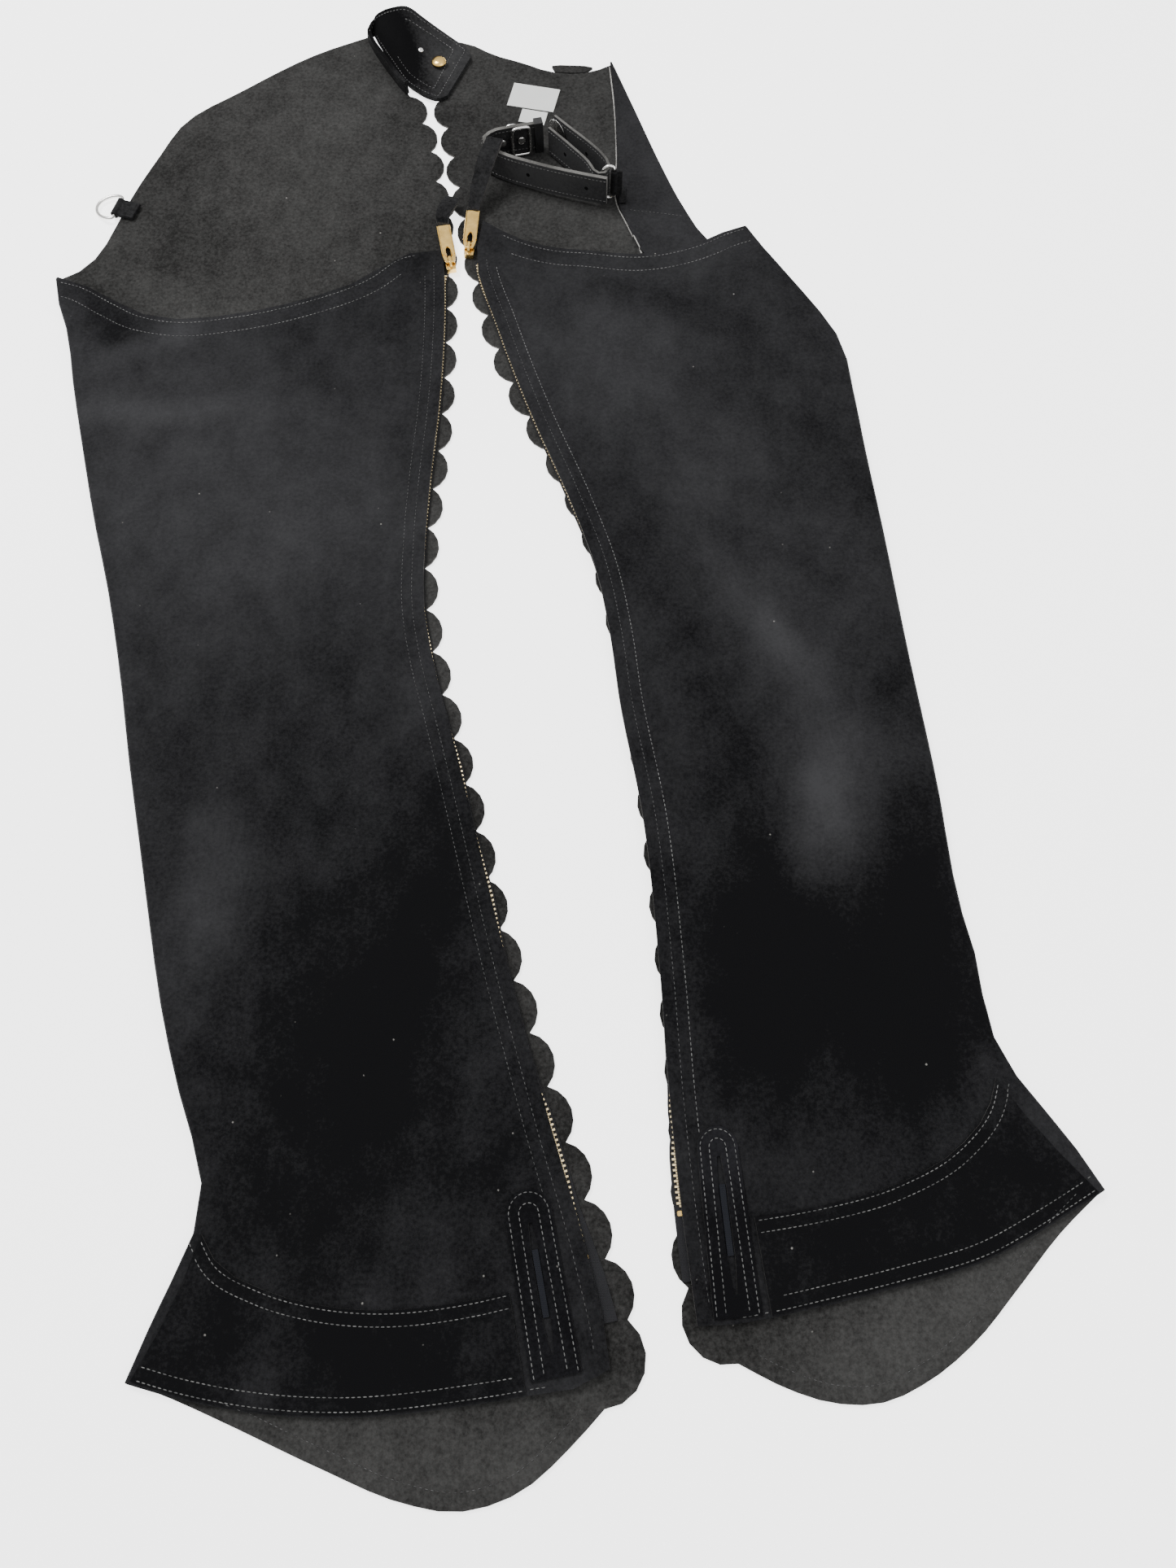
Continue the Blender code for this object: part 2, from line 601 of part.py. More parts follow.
def zip_strip(name, edge, rows, outward, start, parent):
    """Tape and teeth of a closed zip beside the near panel's edge."""
    path = spline([tuple(p) for p in edge], ZIP_STEPS)
    out = sideways(path) * outward
    points = []
    stations = 34
    for k in range(stations + 1):
        v = start + (TAPE_END - start) * k / stations
        at = int(round(v * ZIP_STEPS))
        side, place = out[at], path[at]
        teeth = table(rows, v, 1)
        outer = table(rows, v, 2)
        half = CHAIN / 2
        chain = 1.0 if v < LAST_TOOTH else 0.0
        low = CHAIN_LOW * chain + 2.5 * (1 - chain)
        high = CHAIN_TOP * chain + 3.5 * (1 - chain)
        inner = teeth - TAPE_IN
        section = ((inner, 3.1), (teeth - half, 2.8), (teeth - half, low), (teeth + half, low),
                   (teeth + half, 2.4), (outer, 2.2), (outer, 2.8), (teeth + half, 3.2),
                   (teeth + half, high), (teeth - half, high), (teeth - half, 3.6), (inner, 3.8))
        for s, z in section:
            x, y = place + side * s
            points.append((x, y, z))
    return make(name, points, tube_faces(stations + 1, 12), tape(), parent)


def turn_about(points, origin, degrees):
    c, s = math.cos(math.radians(degrees)), math.sin(math.radians(degrees))
    ox, oy, oz = origin
    return [(ox + c * x - s * y, oy + s * x + c * y, oz + z) for x, y, z in points]


def slider(name, place, degrees, parent):
    """Zip slider: a tapered body with an arched bridge that holds the pull."""
    outline = [(-3.6, -6), (3.6, -6), (4.0, -1), (3.2, 5), (0, 7.5), (-3.2, 5), (-4.0, -1)]
    count = len(outline)
    body = [(x, y, SLIDER_LOW) for x, y in outline] + [(x, y, SLIDER_TOP) for x, y in outline]
    faces = [tuple(range(count)), tuple(range(count, 2 * count))]
    faces += [(k, (k + 1) % count, count + (k + 1) % count, count + k) for k in range(count)]
    thing = make(name, turn_about(body, (*place, 0), degrees), faces, brass(), parent)
    arch = ((-4.6, 0), (-4.6, 3.0), (-3.0, 4.6), (3.0, 4.6), (4.6, 3.0), (4.6, 0), (3.0, 0),
            (3.0, 2.2), (2.0, BRIDGE_CLEAR), (-2.0, BRIDGE_CLEAR), (-3.0, 2.2), (-3.0, 0))
    sunk = 0.6
    arch_points = []
    for x in (-1.1, 1.1):
        for y, z in arch:
            arch_points.append((x, y, SLIDER_TOP + (z if z > 0 else -sunk)))
    n = len(arch)
    arch_faces = [tuple(range(n)), tuple(range(n, 2 * n))]
    arch_faces += [(k, (k + 1) % n, n + (k + 1) % n, n + k) for k in range(n)]
    bridge = make(name + "_bridge_tool", turn_about(arch_points, (*place, 0), degrees), arch_faces, brass(),
                  parent)
    bridge.hide_render = True
    bridge.display_type = 'WIRE'
    union = thing.modifiers.new("bridge", 'BOOLEAN')
    union.operation = 'UNION'
    union.object = bridge
    union.solver = 'EXACT'
    return thing


def pull(name, place, degrees, parent):
    """Long flat pull; its cross bar lies under the bridge and its slot passes the bridge's sides."""
    outer = [(-3.4, -1.0), (-1.7, -1.0), (1.7, -1.0), (3.4, -1.0), (4.4, 2.0), (PULL_HALF, 8.0),
             (PULL_HALF, 22.0), (PULL_HALF, PULL_LENGTH - 1.5), (4.0, PULL_LENGTH), (0, PULL_LENGTH),
             (-4.0, PULL_LENGTH), (-PULL_HALF, PULL_LENGTH - 1.5), (-PULL_HALF, 22.0), (-PULL_HALF, 8.0),
             (-4.4, 2.0)]
    inner = [(-1.7, 1.0), (-1.2, 1.0), (1.2, 1.0), (1.7, 1.0), (1.7, 4.0), (1.7, 8.0),
             (1.7, 13.0), (1.4, 14.2), (0.8, 14.9), (0, 15.1),
             (-0.8, 14.9), (-1.4, 14.2), (-1.7, 13.0), (-1.7, 8.0), (-1.7, 4.0)]
    half = PULL_THICK / 2
    points, faces = plate_with_slots((outer, inner), -half, half)
    axis_height = SLIDER_TOP + BRIDGE_CLEAR / 2
    return make(name, turn_about(points, (*place, axis_height), degrees), faces, brass(), parent)


def ribbon(name, centre, half_widths, thickness, finish, parent):
    """A flat strip along a path in space, its width level; each row is x, y, z of its middle."""
    path = spline(centre, 12)
    sides = sideways(path)
    points = []
    for k, (place, side) in enumerate(zip(path, sides)):
        half = np.interp(k / 12, np.linspace(0, 1, len(half_widths)), half_widths)
        for f in (-1, 1):
            points.append((place[0] + side[0] * half * f, place[1] + side[1] * half * f, place[2]))
    faces = [(2 * k, 2 * k + 1, 2 * k + 3, 2 * k + 2) for k in range(12)]
    thing = make(name, points, faces, finish, parent)
    return wall(thing, thickness, grow_up=True)


def standing_strap(name, rows, height, thickness, count, finish, parent):
    """A strap that stands on its edge along a path."""
    path = spline(rows, count)
    sides = sideways(path)
    points = []
    for place, side in zip(path, sides):
        x, y, z = place
        for f, up in ((-0.5, 0), (0.5, 0), (0.5, height), (-0.5, height)):
            points.append((x + side[0] * thickness * f, y + side[1] * thickness * f, z + up))
    return make(name, points, tube_faces(count + 1, 4), finish, parent)


def belt(name, parent):
    """The wide back belt: sewn to the left yoke, looped up and laid as a tab on the right yoke."""
    along, across = 42, 4
    end_width = {0: 0.80, 1: 0.96}
    rows = spline(BELT_ROWS, along)
    points = []
    for j in range(along + 1):
        keep = end_width.get(along - j, 1.0)
        for i in range(across + 1):
            f = 0.5 + (i / across - 0.5) * keep
            points.append(tuple(rows[j, :3] * (1 - f) + rows[j, 3:] * f))
    thing = make(name, points, grid_faces(along, across), suede_trim(), parent)
    mesh = thing.data
    middle = mesh.polygons[along * across - 2]
    if middle.normal.z < 0:
        mesh.flip_normals()
    solid = thing.modifiers.new("thickness", 'SOLIDIFY')
    solid.thickness = BELT * MM
    solid.offset = -1.0
    solid.use_even_offset = False
    return BVHTree.FromPolygons([Vector(p) for p in points], grid_faces(along, across))


def ring_path(centre, radius_x, radius_y, count, plane):
    """A D: straight bar at +a, round bow at -a, in the plane given by two unit vectors."""
    a_axis, b_axis = Vector(plane[0]), Vector(plane[1])
    path = []
    for k in range(count):
        a = math.pi * k / (count - 1)
        path.append(Vector(centre) - a_axis * (radius_x * math.sin(a)) + b_axis * (radius_y * math.cos(a)))
    corner = Vector(centre) + a_axis * 3.0
    path.append(corner - b_axis * (radius_y - 0.8))
    path.append(corner + a_axis * 0.9 - b_axis * (radius_y - 3.0))
    path.append(corner + a_axis * 0.9)
    path.append(corner + a_axis * 0.9 + b_axis * (radius_y - 3.0))
    path.append(corner + b_axis * (radius_y - 0.8))
    return path


def hoop(name, centre, along, half_across, low, high, thickness, width, finish, parent):
    """A band that wraps a standing strap: a rectangular loop, set across the strap's direction."""
    c, s = along
    outer = [(-half_across, low), (half_across, low), (half_across, high), (-half_across, high)]
    inner = [(-half_across + thickness, low + thickness), (half_across - thickness, low + thickness),
             (half_across - thickness, high - thickness), (-half_across + thickness, high - thickness)]
    flat, faces = plate_with_slots((outer, inner), -width / 2, width / 2)
    x, y = centre
    points = [(x + c * run - s * across, y + s * run + c * across, up) for across, up, run in flat]
    return make(name, points, faces, finish, parent)


def standing_disc(name, profile, centre, facing, finish, parent, sides=16):
    """A turned disc whose axis is level and points the way it faces."""
    axis = Vector((*facing, 0)).normalized()
    turn = Vector((0, 0, 1)).rotation_difference(axis).to_matrix()
    return turned(name, profile, centre, finish, parent, sides, turn)


def bar_loop(name, centre, bar_dir, out_dir, up, wire, half, tail, finish, parent):
    """A folded suede loop: a sleeve round a bar with a flat tail that is sewn down."""
    bar, out, up = Vector(bar_dir), Vector(out_dir), Vector(up)
    inner, outer = wire + 0.4, wire + 0.4 + THIN
    sides = 12
    low, high = -0.6 - THIN / 2, 0.6 + THIN / 2
    profile = [(outer * math.cos(a), outer * math.sin(a)) for a in
               (math.radians(30 + 300 * k / sides) for k in range(sides + 1))]
    ring_in = [(inner * math.cos(a), inner * math.sin(a)) for a in
               (2 * math.pi * k / sides for k in range(sides))]
    points, faces = [], []
    tail_at = outer + tail
    outline = [(tail_at, high)] + profile + [(tail_at, low)]
    n, m = len(outline), len(ring_in)
    for f in (-half, half):
        points += [Vector(centre) + bar * f - out * a + up * b for a, b in outline]
        points += [Vector(centre) + bar * f - out * a + up * b for a, b in ring_in]
    shift = n + m
    for k in range(n):
        faces.append((k, (k + 1) % n, shift + (k + 1) % n, shift + k))
    for k in range(m):
        faces.append((n + k, n + (k + 1) % m, shift + n + (k + 1) % m, shift + n + k))
    build = bmesh.new()
    verts = [build.verts.new(p * MM) for p in points]
    for face in faces:
        build.faces.new([verts[i] for i in face])
    for first in (0, shift):
        edges = []
        for k in range(n):
            edges.append(build.edges.get((verts[first + k], verts[first + (k + 1) % n])))
        for k in range(m):
            edges.append(build.edges.get((verts[first + n + k], verts[first + n + (k + 1) % m])))
        bmesh.ops.triangle_fill(build, edges=edges, use_beauty=True)
    bmesh.ops.recalc_face_normals(build, faces=build.faces)
    mesh = bpy.data.meshes.new(name)
    build.to_mesh(mesh)
    build.free()
    mesh.materials.append(finish)
    thing = bpy.data.objects.new(name, mesh)
    bpy.context.collection.objects.link(thing)
    thing.parent = parent
    return thing


def centre_on_floor(root):
    """Moves the whole model so that the middle of its footprint is the origin."""
    bpy.context.view_layer.update()
    graph = bpy.context.evaluated_depsgraph_get()
    low, high = np.full(3, 1e9), np.full(3, -1e9)
    for thing in bpy.data.objects:
        if thing.type != 'MESH' or thing.hide_render:
            continue
        for corner in thing.evaluated_get(graph).bound_box:
            place = np.array(thing.matrix_world @ Vector(corner))
            low, high = np.minimum(low, place), np.maximum(high, place)
    root.location = (-(low[0] + high[0]) / 2, -(low[1] + high[1]) / 2, -low[2])


def main():
    for thing in list(bpy.data.objects):
        bpy.data.objects.remove(thing, do_unlink=True)
    root = bpy.data.objects.new("chaps", None)
    bpy.context.collection.objects.link(root)

    # Left leg.
    end = [tuple(p) for p in spline(LEFT_CROTCH, 22)]
    edge_points = [tuple(p) for p in scallops(LEFT_SCALLOPS, LEFT_LAST_SCALLOP, -1)]
    lobe = [tuple(p) for p in spline(LEFT_LOBE, 22)]
    far = end[-2::-1] + edge_points + lobe[1:-1]
    _, left_tree, left_edge = leg("leg_left", 1, far, LEFT_FOLD, LEFT_FOLD_HEIGHT, LEFT_ZIP, LEFT_TOP,
                                  LEFT_HEM, LEFT_CREASES, 0.0, root)

    # Right leg, with the crotch edge folded over as a lapel.
    waist = [tuple(p) for p in spline(RIGHT_WAIST, 12)][1:-1]
    back = [tuple(p) for p in spline(RIGHT_BACK, 4)][:-1]
    edge_points = [tuple(p) for p in scallops(RIGHT_SCALLOPS, RIGHT_LAST_SCALLOP, 1)]
    lobe = [tuple(p) for p in spline(RIGHT_LOBE, 22)]
    far = waist[::-1] + back + edge_points + lobe[1:-1]
    _, right_tree, right_edge = leg("leg_right", -1, far, RIGHT_FOLD, RIGHT_FOLD_HEIGHT, RIGHT_ZIP, RIGHT_TOP,
                                    RIGHT_HEM, RIGHT_CREASES, 1.6, root,
                                    lapel=(LAPEL_LINE, LAPEL_EDGE, 14, 4))

    # Flares, slot patches and the hook tape in their slits.
    flare("flare_left", left_tree, LEFT_FLARE_SEAM,
          ((-247, 62), (-194, 49.5), (-133, 45.5), (-64, 51.5), (-33.5, 56)), 3.0, root)
    flare("flare_right", right_tree, RIGHT_FLARE_SEAM,
          ((291, 158.5), (223, 123.5), (157, 106.5), (101, 94.6)), -3.0, root)
    slot_patch("slot_patch_left", left_tree, LEFT_PATCH, root)
    slot_patch("slot_patch_right", right_tree, RIGHT_PATCH, root)
    slot_tape("slot_tape_left", left_tree, LEFT_PATCH, root)
    slot_tape("slot_tape_right", right_tree, RIGHT_PATCH, root)

    # Zips.
    zip_strip("zip_left", left_edge, LEFT_TAPE, 1, LEFT_START, root)
    zip_strip("zip_right", right_edge, RIGHT_TAPE, -1, RIGHT_START, root)
    slider("zip_slider_left", LEFT_SLIDER, LEFT_TURN, root)
    slider("zip_slider_right", RIGHT_SLIDER, RIGHT_TURN, root)
    pull("zip_pull_left", LEFT_SLIDER, LEFT_TURN, root)
    pull("zip_pull_right", RIGHT_SLIDER, RIGHT_TURN, root)
    tab_z = SLIDER_TOP + BRIDGE_CLEAR / 2 - 0.6
    ribbon("pull_tab_left", ((-115.6, 887.0, tab_z), (-115.3, 895, tab_z + 1.5), (-111, 906, tab_z + 2),
                             (-109, 914.5, tab_z)), (4.5, 6.0, 6.6, 5.4), 2.6, suede_trim(), root)
    ribbon("pull_tab_right", ((-91.7, 902.4, tab_z), (-90, 909, tab_z + 2.5), (-86, 920, 17), (-79, 937, 28.5),
                              (-74, 951, 31.5)), (4.5, 6.0, 7.0, 7.0, 6.5), 2.4, suede_trim(), root)

    # Belt and its snap.
    belt_top = belt("back_belt", root)
    x, y = SNAP
    seat = GAP + max(on_panel(belt_top, x + dx, y + dy) for dx, dy in ((-6, 0), (6, 0), (0, -6), (0, 6)))
    turned("belt_snap", ((0, 0.0), (6.2, 0.0), (6.2, 1.0), (5.2, 2.2), (3.0, 3.0), (0, 3.2)),
           (x, y, seat), brass(), root)

    # Narrow strap, ring and buckle.
    standing_strap("front_strap_long", LONG_STRAP, STRAP_HEIGHT, BELT, 26, suede_trim(), root)
    standing_strap("front_strap_short", SHORT_STRAP, STRAP_HEIGHT, BELT - 1.0, 30, suede_trim(), root)

    along = (0.975, 0.222)
    facing = (along[1], -along[0])
    out, side, up = Vector((*facing, 0)), Vector((*along, 0)), Vector((0, 0, 1))
    half_x, half_z, cut = 7.5, 12.2, 1.5
    corners = ((-half_x + cut, -half_z), (0, -half_z), (half_x - cut, -half_z), (half_x, -half_z + cut),
               (half_x, 0), (half_x, half_z - cut), (half_x - cut, half_z), (0, half_z),
               (-half_x + cut, half_z), (-half_x, half_z - cut), (-half_x, 0), (-half_x, -half_z + cut))
    middle = Vector((-54.2, 968.8, 15.4)) + out * 0.6
    swept("buckle_frame", [middle + side * a + up * b for a, b in corners], 1.3, nickel(), root)
    hoop("strap_keeper", KEEPER, along, 3.5, 2.0, 28.9, 1.2, 7.0, leather(), root)
    button = ((0, 0.0), (3.2, 0.0), (3.2, 1.0), (2.2, 1.7), (0, 1.8))
    for name, x, y in (("strap_screw_left", -70.0, 968.1), ("strap_screw_right", -54.6, 971.6)):
        place = (x + facing[0] * 1.9, y + facing[1] * 1.9, 15.4)
        standing_disc(name, button, place, facing, nickel(), root, 12)
    disc = ((0, 0.0), (8.5, 0.0), (8.8, 0.9), (7.0, 1.8), (3.2, 2.2), (0, 2.6))
    standing_disc("concho_back", disc, (-62.0, 972.6, 18.5), (-facing[0], -facing[1]), nickel(), root)
    wide_disc = ((0, 0.0), (9.7, 0.0), (10.0, 0.9), (8.0, 1.8), (3.6, 2.2), (0, 2.6))
    standing_disc("concho_front", wide_disc, (-24.8, 978.2, 16.6), (-0.75, -0.66), nickel(), root)

    # Ring that holds the strap, in its loop on the lapel.
    upright = ((1, 0, 0), (0, 0, 1))
    swept("ring_right", ring_path(STRAP_RING, 8.0, 15.0, 13, upright), STRAP_RING_WIRE, nickel(), root)
    bar_loop("ring_loop_right", Vector(STRAP_RING) + Vector((3.9, 0, 0)), (0, 0, 1), (-1, 0, 0), (0, 1, 0),
             STRAP_RING_WIRE, 10.5, 3.5, suede_trim(), root)
    slab("ring_loop_base", [(25.0, 912), (30.5, 912), (30.5, 929), (25.0, 929)], 4.15, 2.1, suede_trim(), root)

    # Left ring in its loop.
    ring_plane = ((0.961, -0.2575, 0.1), (0.2588, 0.9659, 0.0))
    ring_centre = Vector((-382.2, 909.4, 3.6))
    swept("ring_left", ring_path(ring_centre, 14.5, 12.5, 13, ring_plane), RING_WIRE, nickel(), root)
    bar_loop("ring_loop_left", ring_centre + Vector(ring_plane[0]) * 3.9, ring_plane[1], (-0.966, 0.259, 0),
             (0, 0, 1), RING_WIRE, 8.0, 13.0, suede_trim(), root)

    # The end of the front belt that shows past the right waist edge.
    beside = [(x, y + GAP + 0.1) for x, y in spline(RIGHT_WAIST, 12) if -34 < x < 6]
    slab("belt_end_behind", beside + [(4, 1071), (-3, 1073), (-24, 1074), (-31, 1073)], 0.0, 2.4,
         suede_trim(), root)

    # Labels, left bare.
    c, s = math.cos(math.radians(-12)), math.sin(math.radians(-12))
    labels = (("woven_label", -46, 1035, 20.0, 13.5), ("size_tab", -46, 1012, 11.0, 7.5))
    for name, cx, cy, half_x, half_y in labels:
        outline = [(cx + c * x - s * y, cy + s * x + c * y)
                   for x, y in ((-half_x, -half_y), (half_x, -half_y), (half_x, half_y), (-half_x, half_y))]
        slab(name, outline, SUEDE + GAP, 0.6, satin(), root)

    centre_on_floor(root)


main()
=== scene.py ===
import math

import bmesh
import bpy
import numpy as np
from mathutils import Matrix, Vector, kdtree, noise
from mathutils.bvhtree import BVHTree


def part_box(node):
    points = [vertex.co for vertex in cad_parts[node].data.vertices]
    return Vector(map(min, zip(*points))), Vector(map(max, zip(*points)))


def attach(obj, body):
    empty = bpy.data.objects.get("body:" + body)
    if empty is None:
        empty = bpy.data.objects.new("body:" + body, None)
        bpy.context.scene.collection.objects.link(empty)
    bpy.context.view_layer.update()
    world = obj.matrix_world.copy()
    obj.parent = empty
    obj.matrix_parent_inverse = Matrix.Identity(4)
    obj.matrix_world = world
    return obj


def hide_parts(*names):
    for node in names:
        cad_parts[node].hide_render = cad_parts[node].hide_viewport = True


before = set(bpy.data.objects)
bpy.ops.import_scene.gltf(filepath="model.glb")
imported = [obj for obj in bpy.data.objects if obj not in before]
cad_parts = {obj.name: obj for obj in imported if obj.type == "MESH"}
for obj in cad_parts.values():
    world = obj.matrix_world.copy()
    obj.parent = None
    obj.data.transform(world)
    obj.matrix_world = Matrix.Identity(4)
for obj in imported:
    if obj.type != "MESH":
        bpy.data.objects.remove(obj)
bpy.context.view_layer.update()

# A pair of black suede show chaps laid flat and face down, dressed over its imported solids.
# Plans are in millimetres as drawn: +X to the right, +Y towards the waist.  Meshes are in metres.
MM = 0.001
WELD = 0.000002
DRAWN_SNAP = (-127.0, 1069.0)

LEG_FACE = 7.0             # longest side of a face on the dressed legs, and on smaller pieces
FLARE_FACE = 5.0
STRAP_FACE = 3.5
TRIM_FACE = 3.0
TAB_FACE = 1.6
RELIEF = 1.1               # height of the soft waves of the near panels
STILL_EDGE = 6.0           # no waves this near a sewn edge
WAVES_GROW = 40.0          # full waves this much further in
FAR_TOP = 1.75             # height of the far panel's face, which has no waves
FAR_FADE = 0.9
EDGE_STEPS = 160           # fine steps along an edge for stitching
ZIP_STEPS = 400
TAPE_STATIONS = 150
TAPE_IN = 9.0              # from the teeth to the tape's hidden edge
STITCH_PITCH = 3.1
STITCH_LENGTH = 2.2
STITCH_WIDTH = 0.62
STITCH_LIFT = 0.12
STITCH_STEP = 1.2          # a stitch that would bridge a higher step than this is left out
TOOTH_PITCH = 3.0
TOOTH_HEIGHT = 3.15
TOOTH_OFFSET = 0.75        # of each tooth from the middle line, to either side
PULL_HALF = 5.5
PULL_LENGTH = 38
PULL_FACE = 8.4            # height of the pulls' upper face
LEFT_SLIDER = (-108.0, 848.0, 11)          # place and turn of each slider
RIGHT_SLIDER = (-93.8, 863.0, -3)
BELT = 3.0                 # thickness of the belt and the long strap
SHORT_STRAP_THICK = 2.0
STRAP_STITCHES = (2.8, 21.2)               # heights of the two rows on the narrow strap
STRAP_MIDDLE = 12.0

# Outlines that the stitching and the zips follow: x, y.
LEFT_ZIP = ((-114, 862), (-111, 810), (-110, 766), (-111, 704), (-114, 646), (-115, 590), (-113, 540),
            (-106, 503), (-93, 456), (-77, 396), (-52, 300), (-23, 199), (2, 117), (11, 78), (12, 68))
LEFT_TOP = ((-417, 835), (-396, 829), (-367, 812), (-346, 800), (-317, 794), (-278, 798), (-219, 814),
            (-173, 836), (-149, 856), (-114, 862))
LEFT_HEM = ((-251, 61), (-220, 53), (-164, 45), (-133, 44), (-64, 50), (-30, 55), (-2, 60), (12, 68))
LEFT_LOBE = ((9, 48), (-8, 31), (-38, 8), (-70, 0), (-97, 4), (-142, 20), (-194, 41), (-225, 53))
LEFT_FLARE_SEAM = ((-217, 136), (-207, 121), (-182, 108), (-152, 100), (-124, 97), (-64, 102), (-45, 106))
LEFT_PATCH = dict(top=(-33.5, 147), bottom=(-17, 64), half_top=13.2, half_bottom=14.0)

RIGHT_ZIP = ((-84, 893), (-88, 857), (-69, 785), (-41, 701), (-13, 628), (6, 569), (15, 520), (21, 470),
             (35, 388), (44, 283), (48, 209), (53, 150), (60, 89))
RIGHT_TOP = ((127, 888), (107, 880), (93, 872), (69, 863), (43, 858), (-2, 862), (-24, 864), (-46, 870),
             (-69, 882), (-84, 893))
RIGHT_HEM = ((296, 160), (264, 142), (223, 122), (179, 110), (135, 100), (101, 93), (82, 90), (60, 89))
RIGHT_LOBE = ((82, 70), (105, 59), (132, 51), (159, 51), (186, 62), (213, 81), (239, 107), (268, 137),
              (290, 156))
RIGHT_FLARE_SEAM = ((240, 222), (234, 205), (213, 182), (177, 163), (132, 151), (109, 147), (95.5, 145))
RIGHT_PATCH = dict(top=(74.5, 183), bottom=(82.5, 93.5), half_top=11.8, half_bottom=13.6)
LAPEL_EDGE = ((19, 1072), (22, 1035), (24, 964), (24, 914), (31, 895), (43, 863))
RIVET = (-142.5, 1079.0)
LAPEL_SEAM = ((33, 906), (52, 903), (76, 899))

# Place of each zip beside the near panel's edge: place down the leg, teeth, outer edge of the tape.
LEFT_TAPE = ((0.0, 5.0, 7.8), (0.04, -1.4, 1.6), (0.3, -1.5, 1.5), (0.37, -2.4, 0.6), (0.43, -1.4, 1.6),
             (0.5, -2.6, 0.4), (0.55, -1.0, 2.0), (0.59, -2.6, 0.4), (0.66, -0.6, 2.4), (0.72, -2.6, 0.6),
             (0.81, -2.2, 1.0), (0.83, -0.2, 3.0), (0.87, -0.2, 3.0), (0.9, -2.0, 3.0), (0.94, -2.4, 6.5),
             (1.0, -2.4, 8.5))
RIGHT_TAPE = ((0.0, 5.0, 7.8), (0.055, -1.5, 1.5), (0.34, -1.6, 1.4), (0.42, -3.0, 0.0), (0.77, -3.2, -0.2),
              (0.84, -2.8, 0.4), (0.86, -1.2, 1.8), (0.875, -1.8, 1.4), (0.89, 0.1, 3.4), (0.925, 0.3, 4.2),
              (1.0, 0.3, 5.0))
LEFT_START, RIGHT_START, LAST_TOOTH, TAPE_END = 0.028, 0.051, 0.925, 0.972

# The belt's two long edges, and the lower edge of each run of the narrow strap: x, y, z.
BELT_ROWS = (
    (-151.4, 1037.2, 16, -151.5, 1040.7, 2.1), (-157.8, 1047.5, 14, -156.8, 1047.5, 2.1),
    (-164.3, 1059.9, 12, -162.9, 1057.1, 2.2), (-175.4, 1079.9, 11, -174.5, 1076.8, 2.2),
    (-184.2, 1096.6, 10.5, -184.2, 1095.8, 2.2), (-187.1, 1109, 11, -188.4, 1107.4, 2.6),
    (-183.8, 1114.1, 16, -185.7, 1107.1, 3.6), (-175.8, 1113.7, 22, -181.2, 1097.4, 4),
    (-165.1, 1111.2, 27, -174.4, 1084.4, 4), (-155.7, 1109.8, 29, -167.3, 1071.5, 4),
    (-149, 1108.6, 27, -160.2, 1058.7, 4), (-140.8, 1107.1, 21, -153, 1047.7, 4.2),
    (-131.1, 1105.8, 14, -144.9, 1040.1, 4.8), (-119.5, 1100.6, 9, -137.7, 1034.6, 5),
    (-108.3, 1093.4, 6.2, -130.7, 1031.2, 5), (-98.3, 1085.8, 5.2, -120.9, 1028.1, 5.2),
)
LONG_STRAP = ((15, 911, 6.2), (-8, 917.5, 5.6), (-46, 931, 4.2), (-68, 941, 3.4), (-80, 949, 3.4),
              (-84, 957, 3.4), (-78, 965, 3.4), (-64, 970, 3.4), (-48, 973.5, 3.4), (-37, 976, 3.4))
SHORT_STRAP = ((-27, 983, 3.4), (-13, 967, 4.2), (2, 950, 5.2), (12, 936, 6.2), (15.9, 928, 6.3),
               (15.6, 920.3, 6.3), (10.8, 915.9, 6.3), (5.6, 918.8, 6.3), (1, 927.5, 6.3), (-14, 948, 5.0),
               (-31.5, 969.5, 3.4))

# Where the nap is brushed light or dark, and where light and shade are painted into the suede (darker crease
# hollows, darker towards the hems and flares, the belt's near-black hollow and its lighter lit tab): x, y,
# direction in degrees, half length, half width, amount.
LEFT_NAP_AND_SHADE = (
    (-300, 720, 0, 130, 90, 0.30),
    (-250, 600, 5, 150, 60, 0.22),
    (-330, 705, 3, 90, 12, 0.30),
    (-180, 470, 80, 120, 60, -0.20),
    (-110, 300, 72, 160, 40, -0.18),
    (-235, 330, 80, 70, 26, 0.34),
    # painted shade in the crease hollow at the waist corner
    (-365, 790, -55, 50, 22, -0.50),
    (-330, 770, 30, 60, 12, 0.30),
    (-60, 130, 75, 60, 30, -0.10),
    # painted shade, darker towards the hem where the light falls off
    (-150, 230, 85, 120, 95, -0.22),
    (-190, 510, 10, 170, 110, 0.24),
    (-110, 20, 0, 160, 26, 0.30),
    (-200, 1020, 60, 80, 50, 0.16),
)
